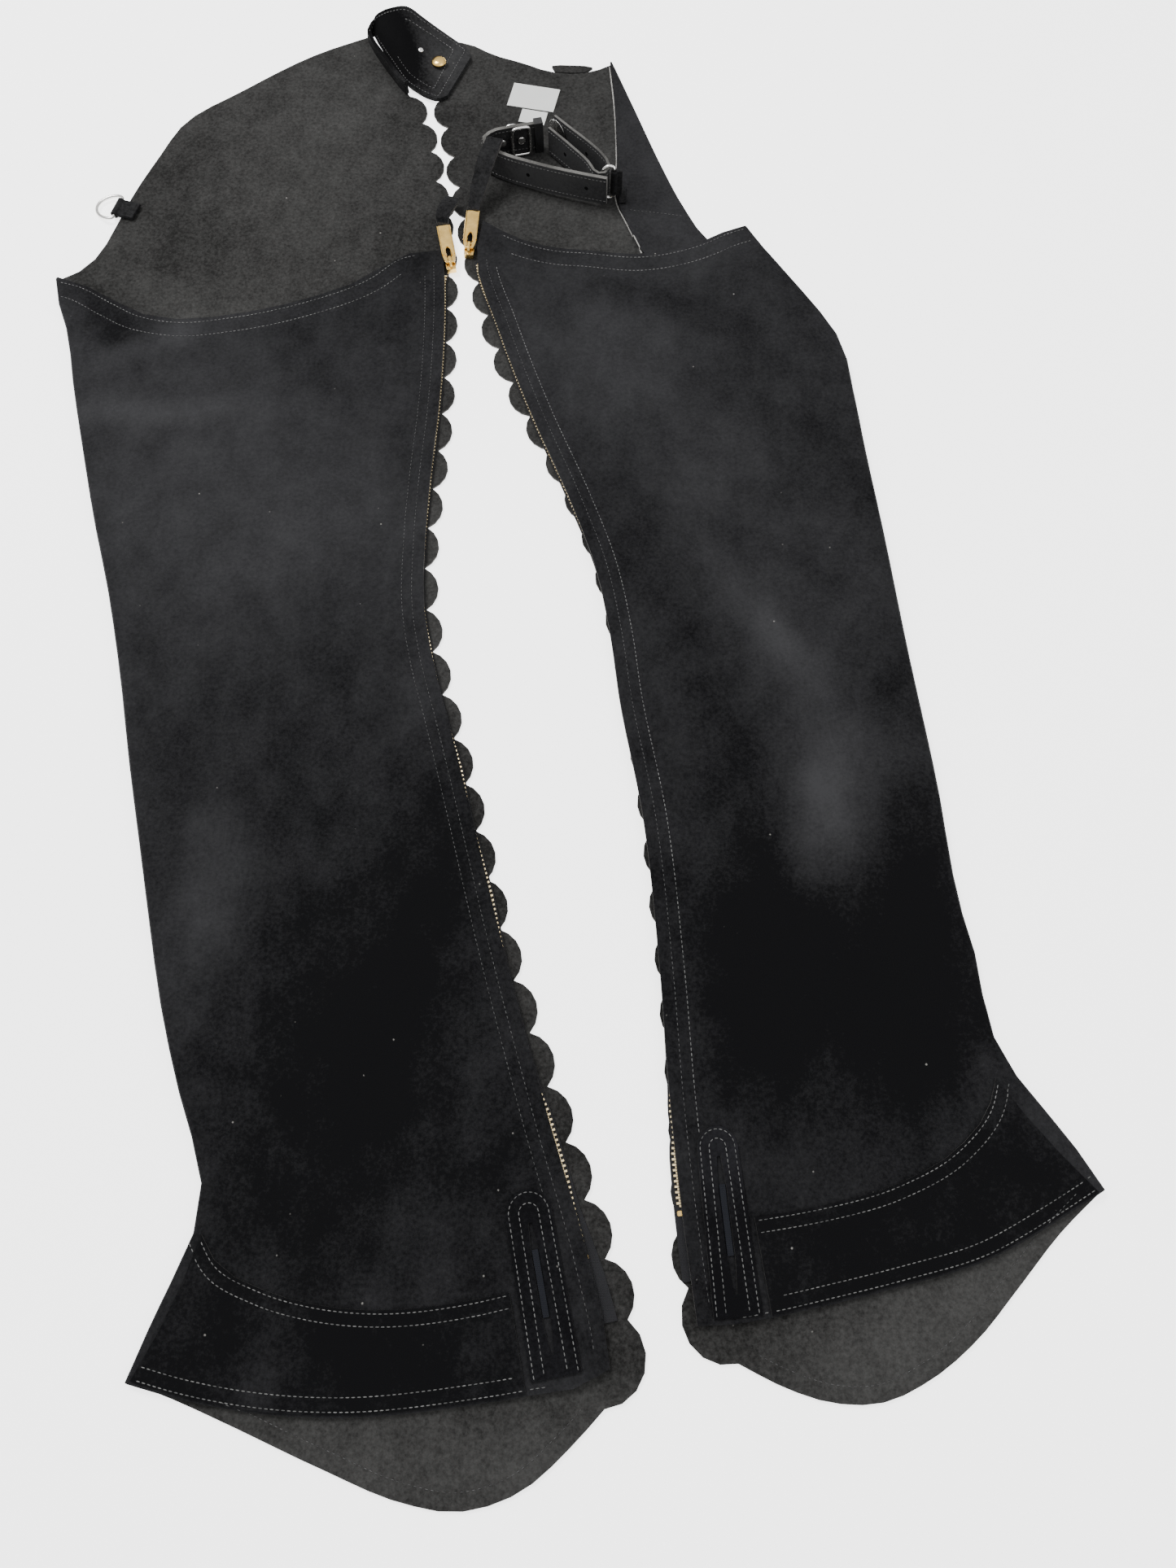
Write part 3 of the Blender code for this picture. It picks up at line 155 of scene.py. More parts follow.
# Mostly painted shade: the flares, and the slot patches that share this table, darker where the light falls
# off towards the hems; two small lighter nap streaks.
LEFT_FLARE_NAP_AND_SHADE = (
    (-130, 80, 3, 220, 90, -0.42),
    (-170, 70, 80, 40, 20, 0.30),
    (-40, 90, 80, 40, 26, 0.10),
)
RIGHT_NAP_AND_SHADE = (
    (20, 760, 0, 70, 60, 0.26),
    (100, 660, 60, 90, 60, 0.12),
    (125, 520, -55, 70, 15, 0.42),
    (85, 480, -70, 150, 30, -0.16),
    (60, 800, -10, 110, 60, 0.14),
    (70, 620, -70, 110, 50, 0.14),
    # painted shade, darker towards the hem where the light falls off
    (165, 270, 85, 110, 85, -0.42),
    (190, 86, 30, 150, 30, 0.40),
    (60, 960, -72, 110, 34, 0.30),
    (150, 390, 80, 60, 28, 0.80),
    (110, 300, 82, 120, 30, -0.35),
    (200, 300, 85, 90, 20, -0.20),
    (0, 840, 0, 60, 20, 0.20),
    (0, 900, -10, 60, 24, 0.22),
    (60, 810, -20, 60, 18, -0.25),
)
# Mostly painted shade: the flares and slot patches darker where the light falls off towards the hems, with one
# lighter nap streak.
RIGHT_FLARE_NAP_AND_SHADE = (
    (190, 140, 28, 220, 90, -0.42),
    (160, 130, 20, 60, 16, 0.12),
)
# Painted shade and light on the belt: the hollow of its curl painted near-black, and the lit tab painted
# lighter.
BELT_PAINTED_SHADE_AND_LIGHT = (
    (-176, 1100, 120, 26, 16, -0.75),
    (-163, 1078, 120, 30, 14, -0.85),
    (-118, 1070, 0, 26, 30, 0.22),
)
# Lighter in two patches along the long strap.
STRAP_LIGHTER_PATCHES = ((-30, 930, -15, 60, 20, 0.75), (-10, 955, -50, 40, 20, 0.55))

bpy.context.view_layer.update()
snap_low, snap_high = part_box("belt_snap")
SHIFT = (snap_low + snap_high) / 2 - Vector((DRAWN_SNAP[0], DRAWN_SNAP[1], 0)) * MM
SHIFT.z = 0.0


def spot(x, y, z=0.0):
    """A drawn place, in metres of the frame."""
    return Vector((x, y, z)) * MM + SHIFT


def spline(points, count):
    """A smooth curve through the points, as count + 1 places evenly spaced along it."""
    p = np.array(points, dtype=float)
    chord = np.linalg.norm(np.diff(p, axis=0), axis=1)
    t = np.concatenate([[0.0], np.cumsum(chord)])
    slope = np.gradient(p, t, axis=0)
    fine = []
    for i in range(len(p) - 1):
        step = t[i + 1] - t[i]
        for s in np.linspace(0.0, 1.0, 24, endpoint=False):
            a = 2 * s ** 3 - 3 * s ** 2 + 1
            b = s ** 3 - 2 * s ** 2 + s
            c = -2 * s ** 3 + 3 * s ** 2
            d = s ** 3 - s ** 2
            fine.append(a * p[i] + b * step * slope[i] + c * p[i + 1] + d * step * slope[i + 1])
    fine.append(p[-1])
    fine = np.array(fine)
    run = np.concatenate([[0.0], np.cumsum(np.linalg.norm(np.diff(fine, axis=0), axis=1))])
    want = np.linspace(0.0, run[-1], count + 1)
    return np.stack([np.interp(want, run, fine[:, k]) for k in range(p.shape[1])], axis=1)


def sideways(path):
    """Unit vectors to the left of a path in the plane."""
    along = np.gradient(path[:, :2], axis=0)
    along /= np.linalg.norm(along, axis=1)[:, None]
    return np.stack([-along[:, 1], along[:, 0]], axis=1)


def beside(points, away, start=0.0, stop=1.0):
    """The part from start to stop of a curve moved sideways by away millimetres, to its left."""
    path = spline(points, EDGE_STEPS)
    moved = path[:, :2] + sideways(path) * away
    return moved[int(round(start * EDGE_STEPS)):int(round(stop * EDGE_STEPS)) + 1]


def smooth(x):
    x = min(max(x, 0.0), 1.0)
    return x * x * (3 - 2 * x)


# Finishes.

class Finish:
    """A node material that is put together step by step."""

    def __init__(self, name, roughness=0.8, metallic=0.0, gloss=0.5):
        self.material = bpy.data.materials.new(name)
        self.material.use_nodes = True
        self.tree = self.material.node_tree
        self.shader = self.tree.nodes["Principled BSDF"]
        self.shader.inputs["Roughness"].default_value = roughness
        self.shader.inputs["Metallic"].default_value = metallic
        self.shader.inputs["Specular IOR Level"].default_value = gloss
        self.place = self.add("ShaderNodeTexCoord").outputs["Object"]

    def add(self, kind, **settings):
        node = self.tree.nodes.new(kind)
        for key, value in settings.items():
            setattr(node, key, value)
        return node

    def join(self, source, target):
        self.tree.links.new(source, target)

    def stretched(self, scale, turn=(0.0, 0.0, 0.0)):
        mapping = self.add("ShaderNodeMapping")
        mapping.inputs["Scale"].default_value = scale
        mapping.inputs["Rotation"].default_value = turn
        self.join(self.place, mapping.inputs["Vector"])
        return mapping.outputs["Vector"]

    def noise(self, scale, detail=3.0, roughness=0.55, place=None):
        node = self.add("ShaderNodeTexNoise")
        node.inputs["Scale"].default_value = scale
        node.inputs["Detail"].default_value = detail
        node.inputs["Roughness"].default_value = roughness
        self.join(place or self.place, node.inputs["Vector"])
        return node.outputs["Fac"]

    def cells(self, scale, feature="F1", place=None):
        node = self.add("ShaderNodeTexVoronoi", feature=feature)
        node.inputs["Scale"].default_value = scale
        self.join(place or self.place, node.inputs["Vector"])
        return node

    def math(self, operation, a, b=0.0, c=0.0):
        node = self.add("ShaderNodeMath", operation=operation)
        for socket, value in zip(node.inputs, (a, b, c)):
            if isinstance(value, (int, float)):
                socket.default_value = value
            else:
                self.join(value, socket)
        return node.outputs[0]

    def spread(self, value, low, high, to_low=0.0, to_high=1.0):
        node = self.add("ShaderNodeMapRange")
        for key, number in (("From Min", low), ("From Max", high), ("To Min", to_low), ("To Max", to_high)):
            node.inputs[key].default_value = number
        self.join(value, node.inputs["Value"])
        return node.outputs["Result"]

    def mixed(self, amount, a, b):
        node = self.add("ShaderNodeMix", data_type='RGBA')
        colours = [socket for socket in node.inputs if socket.type == 'RGBA']
        for socket, value in ((node.inputs["Factor"], amount), (colours[0], a), (colours[1], b)):
            if isinstance(value, (int, float)):
                socket.default_value = value
            elif isinstance(value, tuple):
                socket.default_value = (*value, 1.0)
            else:
                self.join(value, socket)
        return [socket for socket in node.outputs if socket.type == 'RGBA'][0]

    def attribute(self, name):
        node = self.add("ShaderNodeAttribute", attribute_name=name)
        return node.outputs["Fac"]

    def colour(self, value):
        if isinstance(value, tuple):
            self.shader.inputs["Base Color"].default_value = (*value, 1.0)
        else:
            self.join(value, self.shader.inputs["Base Color"])

    def rough(self, value):
        self.join(value, self.shader.inputs["Roughness"])

    def bump(self, height, distance, strength=1.0):
        node = self.add("ShaderNodeBump")
        node.inputs["Distance"].default_value = distance
        node.inputs["Strength"].default_value = strength
        self.join(height, node.inputs["Height"])
        self.join(node.outputs["Normal"], self.shader.inputs["Normal"])

    def sheen(self, weight, roughness, tint):
        self.shader.inputs["Sheen Weight"].default_value = weight
        self.shader.inputs["Sheen Roughness"].default_value = roughness
        self.shader.inputs["Sheen Tint"].default_value = (*tint, 1.0)


def suede_face(name, dark, light, clouds, grain, lint):
    """Napped suede: brushed clouds, mottling, fine nap, a little lint, and the painted light and shade written
    into the mesh along with its nap.
    """
    f = Finish(name, 0.95, gloss=0.08)
    broad = f.spread(f.noise(7.0, 3.0, 0.5), 0.35, 0.68)
    mottle = f.spread(f.noise(46.0, 5.0, 0.62, f.stretched((1.0, 0.7, 1.0))), 0.3, 0.72)
    nap_and_painted_shading = f.noise(420.0, 5.0, 0.75)
    shade = f.math('MULTIPLY_ADD', broad, clouds, 0.02)
    shade = f.math('MULTIPLY_ADD', mottle, 0.30, shade)
    shade = f.math('MULTIPLY_ADD', f.spread(nap_and_painted_shading, 0.32, 0.68, -0.5, 0.5), grain, shade)
    # adds the mesh's brushed nap together with its painted shade and painted light
    shade = f.math('ADD', shade, f.attribute("nap_and_painted_shading"))
    body = f.mixed(shade, dark, light)
    specks = f.cells(110.0)
    near = f.spread(specks.outputs["Distance"], 0.04, 0.09, 1.0, 0.0)
    chosen = f.spread(f.noise(48.0, 2.0), 0.63, 0.66)
    amount = f.math('MULTIPLY', f.math('MULTIPLY', near, chosen), lint)
    f.colour(f.mixed(amount, body, (0.30, 0.29, 0.27)))
    height = f.math('ADD', f.math('MULTIPLY', nap_and_painted_shading, 0.5), f.math('MULTIPLY', mottle, 0.6))
    f.bump(height, 0.0006, 0.8)
    f.sheen(0.02, 0.5, (0.8, 0.8, 0.8))
    return f.material


def cut_edge(name, dark, light):
    """The raw, fibrous edge of cut suede."""
    f = Finish(name, 0.95, gloss=0.1)
    fibres = f.spread(f.noise(700.0, 3.0, 0.7), 0.3, 0.7)
    patches = f.spread(f.noise(30.0, 3.0), 0.35, 0.65)
    f.colour(f.mixed(f.math('MULTIPLY_ADD', patches, 0.7, f.math('MULTIPLY', fibres, 0.4)), dark, light))
    f.bump(fibres, 0.0004, 0.7)
    return f.material


def thread(name, dark, light):
    """Sewing thread with a ply that turns along it."""
    f = Finish(name, 0.6, gloss=0.3)
    tone = f.spread(f.noise(120.0, 2.0), 0.35, 0.65)
    f.colour(f.mixed(tone, dark, light))
    f.bump(f.noise(3000.0, 2.0), 0.0001, 0.6)
    return f.material


def metal(name, colour, worn, roughness):
    """Plated metal, with handling marks and a little dullness in patches."""
    f = Finish(name, roughness, 1.0)
    patches = f.spread(f.noise(160.0, 4.0, 0.6), 0.35, 0.7)
    f.colour(f.mixed(f.math('MULTIPLY', patches, 0.6), colour, worn))
    f.rough(f.spread(f.noise(240.0, 4.0, 0.6), 0.3, 0.7, roughness * 0.75, roughness * 1.5))
    f.bump(f.noise(900.0, 3.0, 0.6, f.stretched((1.0, 0.12, 1.0))), 0.00005, 0.35)
    return f.material


def woven(name, dark, light, pitch):
    """Plain woven tape or satin, with threads along X and Y."""
    f = Finish(name, 0.75, gloss=0.2)
    waves = []
    for turn in (0.0, math.pi / 2):
        wave = f.add("ShaderNodeTexWave", bands_direction='X')
        wave.inputs["Scale"].default_value = 2.0 / pitch * 0.16
        wave.inputs["Distortion"].default_value = 0.3
        f.join(f.stretched((1.0, 1.0, 1.0), (0.0, 0.0, turn)), wave.inputs["Vector"])
        waves.append(wave.outputs["Fac"])
    weave = f.math('MULTIPLY', waves[0], waves[1])
    tone = f.math('MULTIPLY_ADD', f.noise(60.0), 0.5, f.math('MULTIPLY', weave, 0.5))
    f.colour(f.mixed(tone, dark, light))
    f.bump(weave, 0.00025, 0.8)
    return f.material


def grained(name, dark, light):
    """Smooth leather with a fine pebble."""
    f = Finish(name, 0.5)
    pebble = f.cells(750.0, 'DISTANCE_TO_EDGE').outputs["Distance"]
    tone = f.spread(f.noise(60.0, 3.0), 0.3, 0.7)
    f.colour(f.mixed(tone, dark, light))
    f.rough(f.spread(f.noise(200.0, 3.0), 0.3, 0.7, 0.42, 0.62))
    f.bump(f.spread(pebble, 0.0, 0.12), 0.0002, 0.5)
    return f.material


OUTER = suede_face("suede_outer_face", (0.0030, 0.0030, 0.0035), (0.033, 0.033, 0.035), 0.25, 0.35, 0.6)
INNER = suede_face("suede_inner_face", (0.010, 0.0098, 0.0094), (0.055, 0.0545, 0.053), 0.26, 0.60, 0.6)
TRIM = suede_face("suede_trim_face", (0.0026, 0.0026, 0.0032), (0.022, 0.022, 0.025), 0.30, 0.35, 0.4)
STRAP = suede_face("suede_strap_face", (0.0014, 0.0014, 0.0017), (0.042, 0.042, 0.043), 0.30, 0.40, 0.3)
EDGE = cut_edge("suede_cut_edge", (0.020, 0.019, 0.018), (0.085, 0.082, 0.078))
RIM = cut_edge("strap_cut_edge", (0.040, 0.039, 0.037), (0.15, 0.147, 0.14))
PALE_EDGE = cut_edge("pale_cut_edge", (0.16, 0.155, 0.148), (0.42, 0.41, 0.39))
# Near-black: painted shade for the inside of the punched holes.
HOLE_SHADE = cut_edge("punched_hole_painted_shade", (0.001, 0.001, 0.001), (0.004, 0.004, 0.004))
THREAD = thread("grey_thread", (0.055, 0.055, 0.055), (0.15, 0.15, 0.147))
DULL_THREAD = thread("dull_thread", (0.03, 0.03, 0.03), (0.075, 0.075, 0.075))
BRASS = metal("polished_brass", (0.88, 0.60, 0.20), (0.58, 0.36, 0.10), 0.20)
# The teeth's brass is lightened towards cream as a painted highlight.
TEETH_WITH_PAINTED_HIGHLIGHT = metal("brass_teeth_painted_highlight", (0.95, 0.80, 0.50), (0.72, 0.54, 0.28), 0.26)
NICKEL = metal("bright_nickel", (0.86, 0.85, 0.83), (0.62, 0.61, 0.59), 0.20)
TAPE = woven("zip_tape_weave", (0.006, 0.006, 0.007), (0.022, 0.022, 0.025), 0.0009)
HOOK = woven("hook_tape_weave", (0.0025, 0.003, 0.005), (0.008, 0.0095, 0.015), 0.0011)
SATIN = woven("label_weave", (0.66, 0.67, 0.65), (0.86, 0.87, 0.85), 0.0007)
LEATHER = grained("black_leather_grain", (0.005, 0.005, 0.0055), (0.016, 0.016, 0.017))


# Shapes.

def merged_copy(node):
    build = bmesh.new()
    build.from_mesh(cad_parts[node].data)
    bmesh.ops.remove_doubles(build, verts=build.verts, dist=WELD)
    return build


def mark_sides(build, bend):
    """Gives the two broad sides of a sheet material 0 and 1, the lower one 0, and its cut edges 2."""
    limit = math.radians(bend)
    label, sizes, depth = {}, [], []
    for seed in build.faces:
        if seed in label:
            continue
        number = len(sizes)
        sizes.append(0.0)
        depth.append(0.0)
        label[seed] = number
        stack = [seed]
        while stack:
            face = stack.pop()
            area = face.calc_area()
            sizes[number] += area
            depth[number] += area * face.normal.z
            for edge in face.edges:
                if len(edge.link_faces) == 2 and edge.calc_face_angle(0.0) < limit:
                    for other in edge.link_faces:
                        if other not in label:
                            label[other] = number
                            stack.append(other)
    order = sorted(range(len(sizes)), key=lambda n: -sizes[n])
    broad = sorted(order[:2], key=lambda n: depth[n])
    slots = {broad[0]: 0, broad[1]: 1}
    for face, number in label.items():
        face.material_index = slots.get(number, 2)


def refine(build, longest):
    """Splits long sides until no face is larger than asked."""
    for _ in range(10):
        long_ones = [edge for edge in build.edges if edge.calc_length() > longest]
        if not long_ones:
            break
        bmesh.ops.subdivide_edges(build, edges=long_ones, cuts=1)
        wide = [face for face in build.faces if len(face.verts) > 3]
        bmesh.ops.triangulate(build, faces=wide, quad_method='SHORT_EDGE', ngon_method='BEAUTY')


def soften(build, rounds):
    """Evens out the facets of the flat-lying stretches, in height alone."""
    def free(vert):
        kinds = {face.material_index for face in vert.link_faces}
        return len(kinds) == 1 and abs(vert.normal.z) > 0.85

    build.normal_update()
    loose = [vert for vert in build.verts if free(vert)]
    for _ in range(rounds):
        bmesh.ops.smooth_vert(build, verts=loose, factor=0.5, use_axis_x=False, use_axis_y=False,
                              use_axis_z=True)


def finished(name, build, materials, body, replaced=None, sharp=50.0):
    mesh = bpy.data.meshes.new(name)
    build.to_mesh(mesh)
    build.free()
    if "custom_normal" in mesh.attributes:
        mesh.attributes.remove(mesh.attributes["custom_normal"])
    for finish in materials:
        mesh.materials.append(finish)
    mesh.shade_smooth()
    mesh.set_sharp_from_angle(angle=math.radians(sharp))
    piece = bpy.data.objects.new(name, mesh)
    bpy.context.scene.collection.objects.link(piece)
    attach(piece, body)
    if replaced:
        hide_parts(*replaced)
    return piece


def edge_distance(curves):
    points = []
    for curve in curves:
        points += [spot(x, y) for x, y in spline(curve, 120)[:, :2]]
    tree = kdtree.KDTree(len(points))
    for k, p in enumerate(points):
        tree.insert(p, k)
    tree.balance()
    return tree


STILL = edge_distance((LEFT_ZIP, LEFT_TOP, LEFT_HEM, LEFT_FLARE_SEAM, RIGHT_ZIP, RIGHT_TOP, RIGHT_HEM,
                       RIGHT_FLARE_SEAM))


def relief(place):
    """Soft waves of the near panels in metres, none beside the sewn edges."""
    _, _, away = STILL.find(Vector((place.x, place.y, 0.0)))
    calm = smooth((away / MM - STILL_EDGE) / WAVES_GROW)
    long_wave = noise.noise(Vector((place.x * 9.0, place.y * 5.0, 1.7)))
    short_wave = noise.noise(Vector((place.x * 24.0, place.y * 17.0, 7.3)))
    return calm * RELIEF * MM * (0.75 + 0.75 * long_wave + 0.35 * short_wave)


def raise_near(build):
    for vert in build.verts:
        height = vert.co.z / MM
        share = smooth((height - FAR_TOP) / FAR_FADE)
        if share > 0:
            vert.co.z += relief(vert.co) * share


def paint_nap_and_shading(build, spots):
    """Writes how light or dark the nap lies, and the painted light and shade, into the mesh."""
    layer = build.verts.layers.float.new("nap_and_painted_shading")
    rows = []
    for x, y, turn, half_length, half_width, amount in spots:
        c, s = math.cos(math.radians(turn)), math.sin(math.radians(turn))
        centre = spot(x, y)
        rows.append((centre.x, centre.y, c, s, half_length * MM, half_width * MM, amount))
    for vert in build.verts:
        total = 0.0
        for x, y, c, s, half_length, half_width, amount in rows:
            along = ((vert.co.x - x) * c + (vert.co.y - y) * s) / half_length
            side = (-(vert.co.x - x) * s + (vert.co.y - y) * c) / half_width
            reach = along * along + side * side
            if reach < 9:
                total += amount * math.exp(-reach)
        vert[layer] = total


def dressed_leg(name, node, spots):
    build = merged_copy(node)
    mark_sides(build, 60.0)
    refine(build, LEG_FACE * MM)
    soften(build, 14)
    raise_near(build)
    paint_nap_and_shading(build, spots)
    return finished(name, build, (OUTER, INNER, EDGE), "garment", (node,))


def dressed_trim(name, node, longest, materials, body, lifted=False, spots=(), bend=60.0,
                 crumple=0.0):
    build = merged_copy(node)
    mark_sides(build, bend)
    refine(build, longest * MM)
    if lifted:
        soften(build, 4)
        for vert in build.verts:
            vert.co.z += relief(vert.co)
    if crumple:
        build.normal_update()
        for vert in build.verts:
            vert.co += vert.normal * noise.noise(vert.co * 160) * crumple * MM
    paint_nap_and_shading(build, spots)
    return finished(name, build, materials, body, (node,))


def surface_of(pieces):
    """One tree of the upper faces of several pieces, for laying things on them."""
    points, faces = [], []
    for piece in pieces:
        first = len(points)
        points += [v.co.copy() for v in piece.data.vertices]
        faces += [[first + i for i in p.vertices] for p in piece.data.polygons]
    return BVHTree.FromPolygons(points, faces)


def height_on(tree, x, y):
    hit = tree.ray_cast(Vector((x, y, 0.2)), Vector((0, 0, -1)))
    return hit[0].z if hit[0] else None


def plain_mesh(holder, name, body):
    """The holder's evaluated shape as a plain piece; the holder goes."""
    graph = bpy.context.evaluated_depsgraph_get()
    mesh = bpy.data.meshes.new_from_object(holder.evaluated_get(graph))
    bpy.data.objects.remove(holder, do_unlink=True)
    mesh.name = name
    piece = bpy.data.objects.new(name, mesh)
    bpy.context.scene.collection.objects.link(piece)
    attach(piece, body)
    return piece


def points_holder(name, rows):
    """Loose points that carry two directions each: along the row, and up from what they lie on."""
    mesh = bpy.data.meshes.new(name)
    mesh.from_pydata([row[0] for row in rows], [], [])
    for key, column in (("along", 1), ("up", 2)):
        layer = mesh.attributes.new(key, 'FLOAT_VECTOR', 'POINT')
        layer.data.foreach_set("vector", np.array([row[column] for row in rows], dtype=np.float32).ravel())
    holder = bpy.data.objects.new(name, mesh)
    bpy.context.scene.collection.objects.link(holder)
    return holder


def repeat_tree(name, make_unit, sizes, finish):
    """A node tree that puts one small shape on every point, turned along its row."""
    tree = bpy.data.node_groups.new(name, "GeometryNodeTree")
    tree.interface.new_socket("Geometry", in_out='INPUT', socket_type='NodeSocketGeometry')
    for label, value in sizes:
        socket = tree.interface.new_socket(label, in_out='INPUT', socket_type='NodeSocketFloat')
        socket.default_value = value
    tree.interface.new_socket("Geometry", in_out='OUTPUT', socket_type='NodeSocketGeometry')
    nodes, links = tree.nodes, tree.links
    entry, leave = nodes.new("NodeGroupInput"), nodes.new("NodeGroupOutput")
    unit = make_unit(tree, entry)
    turn = None
    for key, axis, pivot in (("along", 'Y', 'AUTO'), ("up", 'Z', 'Y')):
        read = nodes.new("GeometryNodeInputNamedAttribute")
        read.data_type = 'FLOAT_VECTOR'
        read.inputs["Name"].default_value = key
        align = nodes.new("FunctionNodeAlignRotationToVector")
        align.axis = axis
        align.pivot_axis = pivot
        links.new(read.outputs["Attribute"], align.inputs["Vector"])
        if turn:
            links.new(turn, align.inputs["Rotation"])
        turn = align.outputs["Rotation"]
    spread = nodes.new("GeometryNodeInstanceOnPoints")
    links.new(entry.outputs["Geometry"], spread.inputs["Points"])
    links.new(unit, spread.inputs["Instance"])
    links.new(turn, spread.inputs["Rotation"])
    real = nodes.new("GeometryNodeRealizeInstances")
    links.new(spread.outputs["Instances"], real.inputs["Geometry"])
    paint = nodes.new("GeometryNodeSetMaterial")
    paint.inputs["Material"].default_value = finish
    links.new(real.outputs["Geometry"], paint.inputs["Geometry"])
    links.new(paint.outputs["Geometry"], leave.inputs["Geometry"])
    return tree


def sized(tree, entry, labels):
    """A vector made of three of the tree's named sizes."""
    node = tree.nodes.new("ShaderNodeCombineXYZ")
    for socket, label in zip(node.inputs, labels):
        tree.links.new(entry.outputs[label], socket)
    return node.outputs["Vector"]


def stitch_unit(tree, entry):
    ball = tree.nodes.new("GeometryNodeMeshUVSphere")
    ball.inputs["Segments"].default_value = 8
    ball.inputs["Rings"].default_value = 5
    ball.inputs["Radius"].default_value = 0.5
    lay = tree.nodes.new("GeometryNodeTransform")
    lay.inputs["Rotation"].default_value = (math.pi / 2, 0.0, 0.0)
    tree.links.new(ball.outputs["Mesh"], lay.inputs["Geometry"])
    shape = tree.nodes.new("GeometryNodeTransform")
    tree.links.new(lay.outputs["Geometry"], shape.inputs["Geometry"])
    size = sized(tree, entry, ("Thread width", "Stitch length", "Thread height"))
    tree.links.new(size, shape.inputs["Scale"])
    soft = tree.nodes.new("GeometryNodeSetShadeSmooth")
    tree.links.new(shape.outputs["Geometry"], soft.inputs["Geometry"])
    return soft.outputs["Geometry"]


def tooth_unit(tree, entry):
    bar = tree.nodes.new("GeometryNodeMeshCube")
    size = sized(tree, entry, ("Tooth reach", "Tooth width", "Tooth height"))
    tree.links.new(size, bar.inputs["Size"])
    cap = tree.nodes.new("GeometryNodeMeshUVSphere")
    cap.inputs["Segments"].default_value = 8
    cap.inputs["Rings"].default_value = 4
    cap.inputs["Radius"].default_value = 0.5
    flat = tree.nodes.new("GeometryNodeTransform")
    tree.links.new(cap.outputs["Mesh"], flat.inputs["Geometry"])
    tree.links.new(sized(tree, entry, ("Head reach", "Head width", "Tooth height")), flat.inputs["Scale"])
    both = tree.nodes.new("GeometryNodeJoinGeometry")
    tree.links.new(bar.outputs["Mesh"], both.inputs["Geometry"])
    tree.links.new(flat.outputs["Geometry"], both.inputs["Geometry"])
    return both.outputs["Geometry"]


def repeated(name, rows, tree, body):
    holder = points_holder(name + "_points", rows)
    step = holder.modifiers.new("repeat", 'NODES')
    step.node_group = tree
    return plain_mesh(holder, name, body)


STITCH_TREE = repeat_tree("stitch_row", stitch_unit, (("Thread width", STITCH_WIDTH * MM),
                          ("Stitch length", STITCH_LENGTH * MM), ("Thread height", 0.5 * MM)), THREAD)
DULL_TREE = repeat_tree("worn_stitch_row", stitch_unit, (("Thread width", 0.5 * MM),
                        ("Stitch length", 1.9 * MM), ("Thread height", 0.4 * MM)), DULL_THREAD)
TOOTH_TREE = repeat_tree("tooth_row", tooth_unit, (("Tooth reach", 2.7 * MM), ("Tooth width", 1.15 * MM),
                         ("Tooth height", 2.3 * MM), ("Head reach", 1.9 * MM),
                         ("Head width", 2.0 * MM)), TEETH_WITH_PAINTED_HIGHLIGHT)


def even_places(path, pitch):
    """Places a pitch apart along a path, and the places just ahead of and behind each."""
    path = np.array(path, dtype=float)
    run = np.concatenate([[0.0], np.cumsum(np.linalg.norm(np.diff(path, axis=0), axis=1))])
    count = max(int(run[-1] / pitch), 1)
    want = (np.arange(count) + 0.5) * run[-1] / count

    def places(shift):
        return np.stack([np.interp(want + shift, run, path[:, k]) for k in range(path.shape[1])], axis=1)

    return places(0.0), places(0.4 * pitch), places(-0.4 * pitch)


def sewn(paths, tree):
    """Stitch places for drawn paths laid on a surface."""
    rows = []
    for path in paths:
        for here, ahead, back in zip(*even_places(path, STITCH_PITCH)):
            a, b, c = spot(*here), spot(*ahead), spot(*back)
            levels = [height_on(tree, p.x, p.y) for p in (a, b, c)]
            if None in levels or max(levels) - min(levels) > STITCH_STEP * MM:
                continue
            a.z, b.z, c.z = levels
            a.z += STITCH_LIFT * MM
            along = (b - c).normalized()
            across = along.cross(Vector((0, 0, 1)))
            rows.append((a, along, across.cross(along)))
    return rows


def standing_rows(path, thickness):
    """Stitch places on the two faces of a strap that stands on its edge."""
    rows = []
    line = spline(path, 120)
    for inset in STRAP_STITCHES:
        for here, ahead, back in zip(*even_places(line, STITCH_PITCH)):
            along = Vector(ahead - back).normalized()
            out = Vector((-along.y, along.x, 0)).normalized()
            for side in (1, -1):
                place = spot(here[0], here[1], here[2] + inset) + out * (side * (thickness / 2 + 0.1) * MM)
                rows.append((place, along, out * side))
    return rows


def patch_rows(spec, insets):
    """Rows of stitching round a slot patch: up one side, round the top and down the other."""
    top, bottom = np.array(spec["top"], dtype=float), np.array(spec["bottom"], dtype=float)
    down = bottom - top
    length = np.linalg.norm(down)
    down /= length
    right = np.array([-down[1], down[0]])
    paths = []
    for inset in insets:
        end = length - inset * 0.3

        def on_side(f, sign):
            half = spec["half_top"] + (spec["half_bottom"] - spec["half_top"]) * f - inset
            return top + down * end * f + right * (sign * half)

        path = [on_side(1 - k / 20, -1) for k in range(21)]
        for k in range(1, 16):
            a = math.pi * k / 16
            path.append(top + (spec["half_top"] - inset) * (right * -math.cos(a) - down * math.sin(a)))
        path += [on_side(k / 20, 1) for k in range(21)]
        paths.append(path)
    return paths


